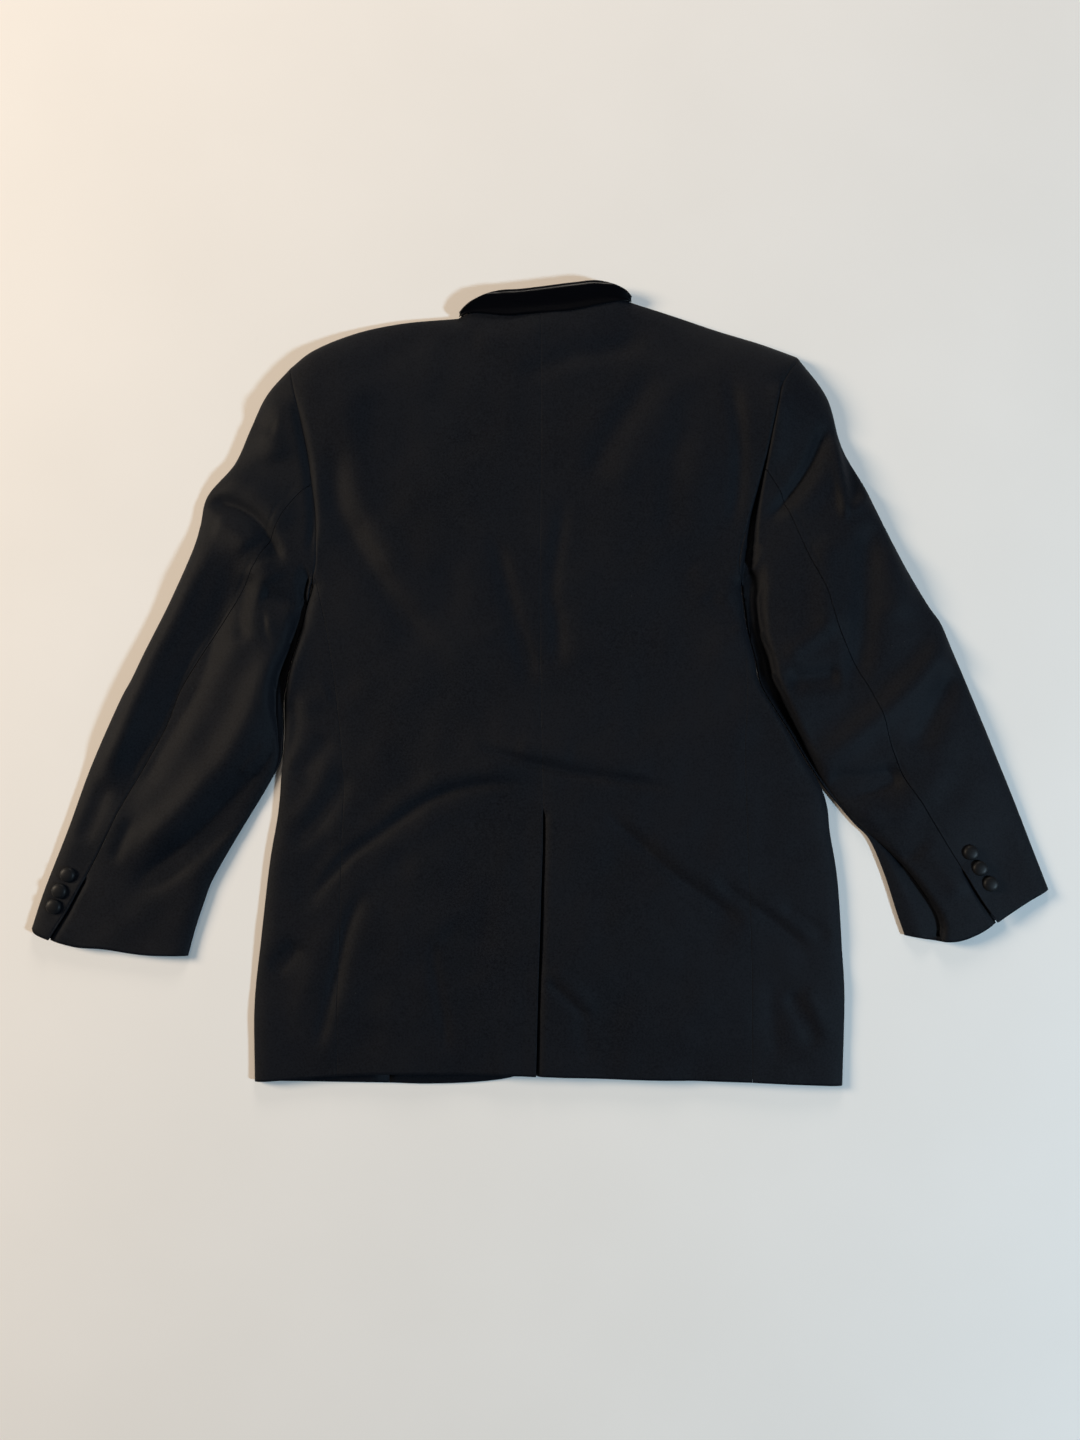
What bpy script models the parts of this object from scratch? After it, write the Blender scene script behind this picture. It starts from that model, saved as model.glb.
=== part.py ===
"""A black tuxedo jacket laid flat, its back up, with the sleeves down and out.

Tables and sizes are in millimetres: x to the jacket's right side, y towards the collar, z up from the
surface that the jacket lies on. Left and right are the wearer's. Each piece of cloth is a wall around a
middle surface. The upper layer follows one height above the plan, loft(), so that pieces meet at their
seams. It rounds down at the folded edges, and the lower layer lies flat.
"""

import math

import bmesh
import bpy
import numpy as np

MM = 0.001

# The tables' zero lies this far from the middle of the jacket's box, which is the part's origin
MIDDLE_X = 0.505
MIDDLE_Y = 3.063

# Cloth
WALL = 1.6
LAPEL_WALL = 1.0
SEAM_GAP = 0.4
LYING = WALL / 2
LAYER_STEP = WALL + 0.35

# Folded edges: the middle of the edge's height, and the columns' distances from it on either layer
EDGE_RISE = 2.8
EDGE_UPPER = (0.0, 1.2, 4.0, 10.0, 20.0)
EDGE_LOWER = ((1.2, 0.4), (4.0, 0.0))
ROUNDING = 8.0
ROUNDING_PER_LOFT = 0.9

# Height of the upper layer
HEM_LOFT = 8.0
LEAST_LOFT = 6.9
SHELF_LOFT = 5.0
SHELF_ROUNDING = 4.0
FOLD_FADE = 0.22
FOLD_END = 0.25

# The satin lapels turn under the fronts and hold them off the surface this far around
LAPEL_REACH = 72.0
LAPEL_FADE = 34.0
LAPEL_LIFT = LAPEL_WALL + 0.5

# Where the right front laps over the left one: its rise, and the ends of the lap along x and y
LAP_RISE = LAYER_STEP + 0.7
LAP_SIDE = (88.0, 38.0)
LAP_TOP = (90.0, 45.0)

# Centre back vent: the top of the opening, the lap below it, and how far from the edge it sinks
VENT_TOP = -133
VENT_LAP = 36.0
VENT_SLOPE = 12.0
VENT_SINK = LAYER_STEP + 0.1
VENT_CLEAR = 0.8

# Cell sizes, and where the columns of a sleeve's inner edge are beyond its shelf
ROW_LENGTH = 22.0
NARROW = 28.0
INNER_UPPER = (0.0, 1.2, 4.0)
BEYOND_SHELF = (1.5, 6.0, 15.0)
BACK_COLUMNS = 11
SHOULDER_COLUMNS = 7
FRONT_COLUMNS = 5
SLEEVE_ROWS = 25
SEAM_COLUMN = 5
TURN_ROWS = 4
STEEP = 2.5
PROBE = 0.5
WELD = 0.02
HIDDEN_SEAM = 34.0
LAPEL_ROWS = 12
LAPEL_COLUMNS = 3
SHARED_ROWS = 0.03

# Covered buttons
BUTTON_RADIUS = 7.5
BUTTON_EDGE = 1.4
BUTTON_DOME = 2.4
BUTTON_SHANK = 2.2
BUTTON_SHANK_RISE = 0.7
BUTTON_SHOULDER = (1.2, 1.3)
BUTTON_LIFT = 0.35
BUTTON_STEPS = 12

# Where the jacket is thicker: centre x, y, reach along x, y, and rise above the hem's height
LOFTS = (
    ("left blade", -105, 215, 95, 130, 7.0),
    ("right blade", 105, 225, 95, 130, 7.5),
    ("nape", 5, 345, 90, 55, 6.0),
    ("left shoulder pad", -222, 285, 62, 70, 17.0),
    ("right shoulder pad", 228, 295, 62, 70, 17.0),
    ("left upper arm", -300, 110, 60, 120, 11.0),
    ("right upper arm", 318, 110, 62, 125, 12.0),
    ("left forearm", -375, -70, 60, 95, 6.5),
    ("right forearm", 395, -60, 62, 95, 7.5),
    ("waist roll", -15, -75, 190, 32, 4.0),
    ("right skirt", 130, -235, 120, 110, 4.5),
    ("left skirt", -130, -270, 95, 110, 3.5),
    ("vent", 5, -300, 60, 170, 2.0),
)

# Creases: the line each follows, its half width, and its rise, below zero for a trough
FOLDS = (
    ("waist arc left", ((-13, -100), (-93, -108), (-156, -146), (-212, -195)), 13, -4.0),
    ("waist arc right", ((-59, -65), (5, -86), (95, -100), (132, -107)), 10, -3.5),
    ("skirt diagonal", ((64, -129), (107, -169), (168, -217), (201, -243)), 11, -4.0),
    ("skirt diagonal crest", ((76, -122), (119, -160), (176, -204)), 10, 2.0),
    ("skirt second diagonal", ((180, -202), (224, -233), (267, -269)), 10, -3.0),
    ("skirt third diagonal", ((244, -225), (285, -253)), 9, -2.5),
    ("right corner", ((249, -309), (272, -359)), 14, -2.5),
    ("vent crease", ((8, -294), (36, -322), (49, -332)), 11, -2.0),
    ("left skirt", ((-174, -205), (-197, -263), (-217, -347), (-225, -367)), 15, -3.0),
    ("left side crest", ((-207, -81), (-222, -117), (-252, -150)), 11, 3.0),
    ("left side valley", ((-214, -66), (-236, -104)), 10, -3.0),
    ("left corner", ((-245, -266), (-266, -290)), 11, -2.5),
    ("back left of centre", ((-52, 140), (-40, 97), (-10, 57)), 15, -2.5),
    ("back right of centre", ((22, 193), (18, 90)), 15, -2.0),
    ("waist right of centre", ((18, 72), (17, 13)), 10, -2.5),
    ("below collar", ((-5, 322), (82, 348), (112, 362)), 14, -3.0),
    ("right shoulder diagonal", ((122, 330), (51, 224)), 19, -3.0),
    ("right blade", ((145, 260), (142, 152)), 17, -2.5),
    ("right armhole", ((198, 320), (196, 127)), 13, -3.0),
    ("right armhole foot", ((172, 72), (196, 49)), 10, -2.0),
    ("left blade crest", ((-194, 318), (-194, 216), (-171, 152), (-143, 104)), 19, 3.5),
    ("left blade valley", ((-207, 229), (-199, 170), (-171, 124), (-130, 41)), 14, -3.5),
    ("left sleeve upper", ((-334, 183), (-299, 167), (-274, 142), (-258, 113)), 13, -5.0),
    ("left sleeve upright", ((-295, 101), (-299, 49)), 14, -3.5),
    ("left sleeve short", ((-240, 84), (-278, 86)), 12, -4.0),
    ("left sleeve crest", ((-334, 162), (-396, 21), (-445, -86)), 15, 3.5),
    ("left elbow hollow", ((-262, -24), (-299, -86)), 13, -4.0),
    ("left forearm", ((-299, -106), (-436, -199)), 15, -4.0),
    ("right sleeve upper", ((292, 275), (254, 184), (223, 162)), 13, -4.5),
    ("right sleeve crest", ((298, 243), (306, 168)), 10, 3.0),
    ("right sleeve upright", ((303, 132), (305, 42)), 15, -4.5),
    ("right sleeve spot", ((332, 42), (309, 7)), 13, -3.5),
    ("right sleeve short", ((247, 15), (301, 38)), 13, -4.0),
    ("right elbow crest", ((419, 38), (278, -68)), 15, 4.0),
    ("right elbow hollow", ((419, 15), (360, -76), (298, -88)), 15, -4.0),
)

# Sleeve sections from armhole to cuff: the ends of each on the outer and inner edge, how far the low
# shelf of cloth reaches in from the inner edge, and the elbow seam's share of the way across
SLEEVE_LEFT = (
    # outer x, outer y, inner x, inner y, shelf, seam
    (-253, 320, -233.5, 104.5, 0, 0.55),
    (-277, 292, -236, 91, 0, 0.52),
    (-293, 258, -237.6, 76, 2, 0.48),
    (-309, 222, -244.7, 46, 4, 0.46),
    (-336, 190, -253.2, 16, 6, 0.48),
    (-343, 160, -258.7, -17, 9, 0.43),
    (-351, 133, -258.6, -47, 8, 0.37),
    (-373, 82, -261, -77, 3, 0.31),
    (-397, 33, -274, -103, 0, 0.29),
    (-410, 5, -290, -130, 0, 0.31),
    (-423, -20, -308, -160, 0, 0.32),
    (-451, -86, -328, -196, 0, 0.29),
    (-472, -146, -336, -217, 0, 0.25),
    (-495, -207, -345, -245, 0, 0.20),
    (-507, -245, -352, -272, 0, 0.14),
)
SLEEVE_RIGHT = (
    (261, 331, 209, 109, 0, 0.50),
    (291, 290, 210.2, 96, 5, 0.50),
    (305, 241, 209.5, 80, 10, 0.47),
    (328, 199, 211.3, 52, 12, 0.47),
    (348, 158, 218, 24, 12, 0.46),
    (366, 122, 222.9, 0, 14, 0.48),
    (382, 94, 235, -22, 12, 0.50),
    (393, 76, 251.1, -48, 8, 0.51),
    (404, 60, 268.3, -77, 5, 0.52),
    (414, 35, 283.5, -101, 3, 0.54),
    (424, 11, 299, -121, 2, 0.58),
    (438, -24, 315, -140, 2, 0.60),
    (454, -64, 331, -157, 6, 0.59),
    (474, -115, 345, -190, 20, 0.54),
    (496, -174, 357, -228, 30, 0.47),
    (508, -206, 365, -252, 30, 0.42),
)

# One side's lines in plan, each from the hem up or from the middle out
LEFT = {
    "edge": ((-283, -396), (-284, -321), (-278, -256), (-270, -180), (-262, -130), (-259, -90),
             (-256, -50), (-256, -16), (-251, 14), (-242, 46), (-234.5, 76), (-229, 98)),
    "side seam": ((-201, -390), (-201, -319), (-199, -244), (-198, -169), (-196, -117), (-198, -67),
                  (-204, -15), (-210, 29), (-217, 67), (-226, 108)),
    "hidden seam": ((-150, -398), (-150, -250), (-148, -100), (-155, 0), (-185, 70), (-225, 116)),
    "shoulder": ((-253, 320), (-230, 338), (-190, 355), (-140, 366), (-83, 371)),
    "armhole": ((-253, 320), (-250, 309), (-241, 272), (-234, 236), (-230, 205), (-226, 170),
                (-225, 137), (-226.5, 113), (-233.5, 104.5)),
    "neck": ((-83, 371), (-60, 377), (-20, 381), (0.5, 383)),
    "hem": ((-201, -390), (-157, -388), (-100, -388), (-40, -389), (-4, -390)),
    "front hem": ((-150, -398), (-110, -399), (-60, -397), (-22, -391), (8, -375), (24, -350), (28, -320)),
    "front edge": ((28, -320), (24, -200), (18, -60), (-22, 90), (-60, 240), (-83, 366)),
    "lapel roll": ((-4, 22), (-22, 90), (-60, 240), (-80, 350)),
    "lapel edge": ((-22, 22), (-82, 100), (-128, 215), (-112, 345)),
    "cuff": ((-507, -245), (-499, -252), (-464, -263), (-435, -265), (-395, -271), (-352, -272)),
    "sleeve": SLEEVE_LEFT,
}
RIGHT = {
    "edge": ((300, -400), (303, -315), (301, -266), (297, -196), (290, -150), (287.5, -124), (280, -101),
             (264, -75), (247.5, -47), (229, -17), (219, 3), (215, 26), (207, 60), (202.5, 99)),
    "side seam": ((210, -396), (210, -293), (208, -219), (206, -143), (204, -68), (206, -17), (205, 32),
                  (202, 66), (200, 108)),
    "hidden seam": ((160, -392), (160, -250), (158, -100), (160, 0), (180, 70), (198, 118)),
    "shoulder": ((261, 331), (220, 346), (180, 358), (140, 372), (94, 387)),
    "armhole": ((261, 331), (257, 322), (241, 295), (228, 236), (217, 185), (207, 154), (201, 132),
                (200, 113), (209, 109)),
    "neck": ((94, 387), (60, 388), (20, 384), (0.5, 383)),
    "hem": ((210, -396), (109, -394), (50, -392.5), (-4, -391)),
    "front hem": ((160, -392), (110, -391), (60, -388), (20, -378), (-5, -362), (-20, -340), (-26, -310)),
    "front edge": ((-26, -310), (-24, -200), (-18, -60), (22, 90), (64, 240), (94, 382)),
    "lapel roll": ((4, 22), (22, 90), (64, 240), (90, 362)),
    "lapel edge": ((22, 22), (84, 100), (134, 215), (122, 350)),
    "cuff": ((508, -206), (488, -217), (458, -236), (434, -251), (407, -258), (365, -252)),
    "sleeve": SLEEVE_RIGHT,
}
CENTRE = ((-4, -390), (-2, -312), (1, -215), (3, -133), (1, -18), (0, 82), (1, 220), (1, 339), (0.5, 383))

# The collar: the line where it folds, and the free edge of its leaf
COLLAR_ROLL = ((-84, 373), (-70, 385), (-45, 395), (-20, 397), (5, 400), (35, 404), (60, 406), (85, 398),
               (95, 389))
COLLAR_LEAF = ((-85, 370), (-77, 368), (-40, 368), (5, 369), (49, 374), (79, 380), (96, 386))
COLLAR_NECK = ((-83, 371.5), (-60, 377), (-20, 381), (0.5, 383), (20, 384), (60, 388), (94, 387.5))
COLLAR_STATIONS = 17
COLLAR_ENDS = 0.03

# The collar's section: its height, less where the stand is shallower than its full depth, the crown
# above that, and the stand's and leaf's shares along and up
COLLAR_HEIGHT = 4.6
COLLAR_DEPTH = 14.0
COLLAR_LEAST = 0.55
COLLAR_CROWN = 1.25
COLLAR_STAND = ((0.0, 0.0), (0.4, 0.15), (0.8, 0.35), (0.95, 0.62), (1.0, 0.9))
COLLAR_FALL = (0.06, 0.2, 0.45, 0.75, 1.0)
FALL_START = 0.05
FALL_LENGTH = 0.7

# Centres of the cuff buttons, from the elbow down
BUTTONS = {
    "left": ((-470, -191), (-478, -207), (-483.5, -222.5)),
    "right": ((428, -169), (437, -184.5), (447.5, -200)),
}

# Colour, roughness and sheen
WOOL = ("wool", (0.012, 0.012, 0.013), 0.9)
SATIN = ("satin", (0.008, 0.008, 0.009), 0.38)


def curve(points, steps=8):
    """A smooth line through the points, or rows of any number of columns."""
    rows = np.array(points, float)
    padded = np.vstack([2 * rows[0] - rows[1], rows, 2 * rows[-1] - rows[-2]])
    share = np.linspace(0, 1, steps, endpoint=False)[:, None]
    spans = []
    for a, b, c, d in zip(padded[:-3], padded[1:-2], padded[2:-1], padded[3:]):
        cubic = (2 * a - 5 * b + 4 * c - d) * share**2 + (3 * b - a - 3 * c + d) * share**3
        spans.append(0.5 * (2 * b + (c - a) * share + cubic))
    return np.vstack(spans + [rows[-1:]])


def lengths(line):
    """How far along the line each of its points is."""
    return np.concatenate([[0.0], np.cumsum(np.linalg.norm(np.diff(line[:, :2], axis=0), axis=1))])


def walk(line, shares):
    """The line's points at shares of its length, 0 to 1."""
    run = lengths(line)
    at = np.asarray(shares, float) * run[-1]
    return np.stack([np.interp(at, run, column) for column in line.T], axis=-1)


def nearest(points, line):
    """Distance from each point to the line, and the share of the line's length where that is."""
    start = line[:-1]
    span = line[1:] - start
    reach = points[:, None, :] - start
    share = np.clip((reach * span).sum(-1) / (span * span).sum(-1), 0, 1)
    away = np.linalg.norm(reach - share[..., None] * span, axis=-1)
    best = away.argmin(1)
    row = np.arange(len(points))
    run = lengths(line)
    along = run[best] + share[row, best] * (run[best + 1] - run[best])
    return away[row, best], along / run[-1]


def smooth(value):
    """0 to 1 with level ends."""
    held = np.clip(value, 0, 1)
    return held * held * (3 - 2 * held)


def quarter(value):
    """A quarter of a round, 0 to 1."""
    return np.sqrt(1 - (1 - np.clip(value, 0, 1)) ** 2)


def sleeve_rows(side):
    return curve(side["sleeve"])


EDGES = [curve(side[name]) for side in (LEFT, RIGHT) for name in ("edge", "shoulder")]
EDGES += [sleeve_rows(side)[:, 0:2] for side in (LEFT, RIGHT)]
INNER_EDGES = [sleeve_rows(side)[:, 2:4] for side in (LEFT, RIGHT)]
LAPELS = [(curve(side["lapel roll"]) + curve(side["lapel edge"])) / 2 for side in (LEFT, RIGHT)]


def lift(plan):
    """How far the lapels hold the lower layer off the surface."""
    away = np.min([nearest(plan, line)[0] for line in LAPELS], axis=0)
    return LAPEL_LIFT * smooth(1 - (away - LAPEL_REACH) / LAPEL_FADE)


def creases(plan):
    rise = np.zeros(len(plan))
    for _, line, half_width, height in FOLDS:
        away, along = nearest(plan, curve(line, 4))
        fade = smooth(np.minimum(along, 1 - along) / FOLD_FADE + FOLD_END)
        rise += height * fade * np.exp(-((away / half_width) ** 2))
    return rise


def loft(plan, shelf=0.0):
    """Height of the upper layer's middle surface over points in plan."""
    flat = np.asarray(plan, float).reshape(-1, 2)
    shelf = np.broadcast_to(shelf, np.asarray(plan).shape[:-1]).reshape(-1)
    height = np.full(len(flat), HEM_LOFT)
    for _, x, y, reach_x, reach_y, rise in LOFTS:
        height += rise * np.exp(-(((flat[:, 0] - x) / reach_x) ** 2) - ((flat[:, 1] - y) / reach_y) ** 2)
    height = np.maximum(height + creases(flat), LEAST_LOFT)
    rounding = ROUNDING + ROUNDING_PER_LOFT * height
    inner = np.min([nearest(flat, line)[0] for line in INNER_EDGES], axis=0)
    outer = np.min([nearest(flat, line)[0] for line in EDGES], axis=0)
    foot = EDGE_RISE + lift(flat)
    top = foot + (height - foot) * quarter(np.minimum(outer, inner - shelf) / rounding)
    ledge = foot + (SHELF_LOFT - EDGE_RISE) * quarter(np.minimum(inner, outer) / SHELF_ROUNDING)
    return np.maximum(top, ledge).reshape(np.asarray(plan).shape[:-1])


def upper(plan, shelf=0.0):
    """Points of the upper layer over a grid in plan."""
    return np.concatenate([plan, loft(plan, shelf)[..., None]], axis=-1)


def lower(plan, rise=0.0):
    """Points of the layer that lies on the surface, or on what is under it."""
    flat = plan.reshape(-1, 2)
    height = (LYING + lift(flat)).reshape(plan.shape[:-1]) + rise
    return np.concatenate([plan, height[..., None]], axis=-1)


def blend(bottom, top, left, right, across, up):
    """A grid in plan between four lines whose points are given at the shares across and up."""
    u = np.asarray(across)[None, :, None]
    v = np.asarray(up)[:, None, None]
    sides = (1 - u) * left[:, None] + u * right[:, None]
    ends = (1 - v) * bottom[None] + v * top[None]
    corners = (1 - v) * ((1 - u) * bottom[0] + u * bottom[-1]) + v * ((1 - u) * top[0] + u * top[-1])
    return sides + ends - corners


def inset(grid, first=0.0, last=0.0):
    """Draws a grid's first and last columns in, for the gap at a seam."""
    drawn = grid.copy()
    for edge, neighbour, gap in ((0, 1, first), (-1, -2, last)):
        step = grid[:, neighbour] - grid[:, edge]
        size = np.linalg.norm(step, axis=-1, keepdims=True)
        drawn[:, edge] += step / size * np.minimum(gap, size / 3)
    return drawn


def turned(grid):
    return grid.transpose(1, 0, 2)


def finish(name, mesh, look):
    title, colour, roughness = look
    material = bpy.data.materials.get(title) or bpy.data.materials.new(title)
    material.use_nodes = True
    shader = material.node_tree.nodes["Principled BSDF"]
    shader.inputs["Base Color"].default_value = (*colour, 1)
    shader.inputs["Roughness"].default_value = roughness
    shader.inputs["Metallic"].default_value = 0.0
    mesh.materials.append(material)
    mesh.shade_smooth()
    piece = bpy.data.objects.new(name, mesh)
    piece.location = (-MIDDLE_X * MM, -MIDDLE_Y * MM, 0)
    bpy.context.collection.objects.link(piece)
    return piece


def seam_normal(point):
    """The upper layer's normal at a point on it, or none where it is steep or the point is elsewhere."""
    around = point[:2] + PROBE * np.array([(0, 0), (1, 0), (-1, 0), (0, 1), (0, -1)])
    here, right, left, over, under = loft(around)
    slope = np.array([right - left, over - under]) / (2 * PROBE)
    if abs(here - point[2]) > 0.1 or np.linalg.norm(slope) > STEEP:
        return None
    normal = np.array([-slope[0], -slope[1], 1.0])
    return normal / np.linalg.norm(normal)


def cloth(name, grids, look, wall=WALL):
    """A wall of cloth around grids of points, which share the points where they meet."""
    form = bmesh.new()
    for grid in grids:
        rows, columns = grid.shape[:2]
        points = [[form.verts.new(point) for point in row] for row in grid]
        for i in range(rows - 1):
            for j in range(columns - 1):
                form.faces.new((points[i][j], points[i][j + 1], points[i + 1][j + 1], points[i + 1][j]))
    bmesh.ops.remove_doubles(form, verts=form.verts, dist=WELD)
    bmesh.ops.recalc_face_normals(form, faces=form.faces)
    form.normal_update()
    middle = list(form.faces)
    rims = [edge for edge in form.edges if edge.is_boundary]
    outer, inner = {}, {}
    for vertex in list(form.verts):
        place = np.array(vertex.co)
        normal = np.array(vertex.normal)
        shared = seam_normal(place) if vertex.is_boundary else None
        if shared is not None:
            normal = shared * (1 if normal @ shared > 0 else -1)
        outer[vertex] = form.verts.new((place + normal * wall / 2) * MM)
        inner[vertex] = form.verts.new((place - normal * wall / 2) * MM)
    for face in middle:
        form.faces.new([outer[vertex] for vertex in face.verts])
        form.faces.new([inner[vertex] for vertex in reversed(face.verts)])
    for edge in rims:
        loop = edge.link_loops[0]
        a, b = loop.vert, loop.link_loop_next.vert
        form.faces.new((outer[b], outer[a], inner[a], inner[b]))
    bmesh.ops.delete(form, geom=list(outer), context="VERTS")
    if form.calc_volume(signed=True) < 0:
        bmesh.ops.reverse_faces(form, faces=form.faces)
    mesh = bpy.data.meshes.new(name)
    form.to_mesh(mesh)
    form.free()
    return finish(name, mesh, look)


def sleeve_shares(width, seam, shelf):
    """Shares across a sleeve section of its columns: top sleeve over and under, then under sleeve."""
    edge = np.array(EDGE_UPPER) / width * min(1.0, seam * width / NARROW)
    top_over = np.concatenate([edge, np.linspace(edge[-1], seam, 4)[1:]])
    foot = max(shelf, INNER_UPPER[-1])
    edge = np.concatenate([INNER_UPPER, foot + np.array(BEYOND_SHELF)]) / width
    under_over = np.concatenate([np.linspace(seam, 1 - edge[-1], 5)[:-1], 1 - edge[::-1]])
    turn = np.array([distance for distance, _ in EDGE_LOWER]) / width
    hidden = 1 - HIDDEN_SEAM / width
    top_under = np.concatenate([turn, np.linspace(turn[-1], hidden, 4)[1:]])
    under_under = np.append(1 - turn, hidden)
    return top_over, under_over, top_under, under_under


def sleeve_plan(side, row, position, shares):
    """Points in plan across a sleeve at a share of the way from armhole to cuff."""
    sections = np.array(side["sleeve"], float)
    first, last = sections[0], sections[-1]
    shares = np.asarray(shares)[:, None]
    straight = (1 - shares) * row[0:2] + shares * row[2:4]
    at_armhole = walk(curve(side["armhole"]), shares[:, 0]) - ((1 - shares) * first[0:2] + shares * first[2:4])
    at_cuff = walk(curve(side["cuff"]), shares[:, 0]) - ((1 - shares) * last[0:2] + shares * last[2:4])
    return straight + at_armhole * (1 - position) ** 3 + at_cuff * position**4


def sleeve_table(side):
    """The sleeve's sections, evenly along it, each with its place from armhole to cuff, 0 to 1."""
    fine = curve(side["sleeve"], 12)
    middle = (fine[:, 0:2] + fine[:, 2:4]) / 2
    rows = walk(np.hstack([middle, fine]), np.linspace(0, 1, SLEEVE_ROWS))[:, 2:]
    return list(zip(rows, np.linspace(0, 1, SLEEVE_ROWS)))


def sleeve(label, side):
    """Top sleeve, which wraps the outer edge, and under sleeve, which wraps the inner one."""
    top_grid, under_grid = [], []
    for row, position in sleeve_table(side):
        width = np.linalg.norm(row[2:4] - row[0:2])
        shelf, seam = max(row[4], 0.0), row[5]
        top_over, under_over, top_under, under_under = sleeve_shares(width, seam, shelf)
        rises = np.array([rise for _, rise in EDGE_LOWER])
        over = upper(sleeve_plan(side, row, position, top_over), shelf)
        under = lower(sleeve_plan(side, row, position, top_under))
        under[:2, 2] += rises
        top_grid.append(np.vstack([over[::-1], under]))
        over = upper(sleeve_plan(side, row, position, under_over), shelf)
        under = lower(sleeve_plan(side, row, position, under_under))
        under[:2, 2] += rises
        under_grid.append(np.vstack([over, under]))
    for name, grid in (("top_sleeve_", top_grid), ("under_sleeve_", under_grid)):
        drawn = inset(np.array(grid), SEAM_GAP / 2, SEAM_GAP / 2)
        drawn = turned(inset(turned(drawn), SEAM_GAP))
        cloth(name + label, [drawn], WOOL)


def armhole_shares(side):
    """Shares of the armhole from the side seam up to the shoulder, as the sleeve's first section has."""
    row = np.array(side["sleeve"][0], float)
    width = np.linalg.norm(row[2:4] - row[0:2])
    top_over, under_over, top_under, _ = sleeve_shares(width, row[5], 0.0)
    over = np.unique(np.concatenate([top_over, under_over]))
    return over, top_under


def back_rows(side):
    """Points up the back's outer line: the side seam, then the armhole to the shoulder's edge."""
    over, _ = armhole_shares(side)
    meets = over[-SEAM_COLUMN]
    seam = curve(side["side seam"] + tuple(walk(curve(side["armhole"]), [meets])))
    count = math.ceil(lengths(seam)[-1] / ROW_LENGTH)
    below = walk(seam, np.linspace(0, 1, count + 1))
    above = walk(curve(side["armhole"]), over[:-SEAM_COLUMN][::-1])
    return below, above


def back(label, side):
    below, above = back_rows(side)
    outer_line = np.vstack([below, above])
    up = lengths(outer_line) / lengths(outer_line)[-1]
    centre_line = walk(curve(CENTRE), up)
    across = np.linspace(0, 1, BACK_COLUMNS + 1)
    hem = walk(curve(side["hem"]), across)
    shoulder = walk(curve(side["shoulder"]), np.linspace(0, 1, SHOULDER_COLUMNS + 1))
    neck = walk(curve(side["neck"]), np.linspace(0, 1, BACK_COLUMNS - SHOULDER_COLUMNS + 1))
    head = np.vstack([shoulder, neck[1:]])
    plan = blend(hem, head, outer_line, centre_line, across, up)
    grid = inset(upper(plan), SEAM_GAP / 2, SEAM_GAP / 2)
    columns = SHOULDER_COLUMNS + 1
    down = grid[-TURN_ROWS, :columns, :2] - grid[-1, :columns, :2]
    down /= np.linalg.norm(down, axis=-1, keepdims=True)
    turn = [grid[-1, :columns]]
    for distance, rise in EDGE_LOWER:
        row = lower(grid[-1, :columns, :2] + down * distance)
        row[:, 2] += rise
        turn.append(row)
    main = vent(grid) if side is RIGHT else [grid]
    cloth("back_" + label, main + [np.array(turn)], WOOL)
    return turn[-1]


def vent(grid):
    """Sinks the right back under the left below the vent's top, and adds the lap that lies there."""
    below = grid[:, -1, 1] < VENT_TOP
    sunk = grid.copy()
    near = smooth(1 - np.abs(sunk[..., 0] - sunk[:, -1:, 0]) / VENT_SLOPE)
    sunk[below, :, 2] -= VENT_SINK * near[below]
    sunk[below, -1, 0] += VENT_CLEAR
    rows = sunk[below]
    lap = [rows[:, -1]]
    for reach in (VENT_LAP / 2, VENT_LAP):
        plan = rows[:, -1, :2] - (reach, 0)
        strip = upper(plan)
        strip[:, 2] -= VENT_SINK
        lap.append(strip)
    return [sunk, np.array(lap).transpose(1, 0, 2)]


def hidden_rows(side):
    """Points up the seam of side body and front, one for each row of the side body."""
    below, _ = back_rows(side)
    return walk(curve(side["hidden seam"]), lengths(below) / lengths(below)[-1])


def side_body(label, side):
    """The side body, from the back's seam over the folded edge to the hidden seam below."""
    below, _ = back_rows(side)
    edge = walk(curve(side["edge"]), lengths(below) / lengths(below)[-1])
    rows = []
    for seam, nose, inner in zip(below, edge, hidden_rows(side)):
        width = np.linalg.norm(nose - seam)
        near = np.array(EDGE_UPPER) * min(1.0, width / NARROW) / width
        shares = np.concatenate([[0.0, (1 - near[-1]) / 2], 1 - near[::-1]])[:, None]
        over = upper((1 - shares) * seam + shares * nose)
        reach = np.linalg.norm(inner - nose)
        turn = [min(distance / reach, 0.2 * order) for order, (distance, _) in enumerate(EDGE_LOWER, 1)]
        under_shares = np.array(turn + [0.6, 1.0])[:, None]
        under = lower((1 - under_shares) * nose + under_shares * inner)
        under[:2, 2] += [rise for _, rise in EDGE_LOWER]
        rows.append(np.vstack([over, under]))
    grid = inset(np.array(rows), SEAM_GAP / 2, SEAM_GAP / 2)
    cloth("side_" + label, [turned(inset(turned(grid), 0.0, 2 * SEAM_GAP))], WOOL)


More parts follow.
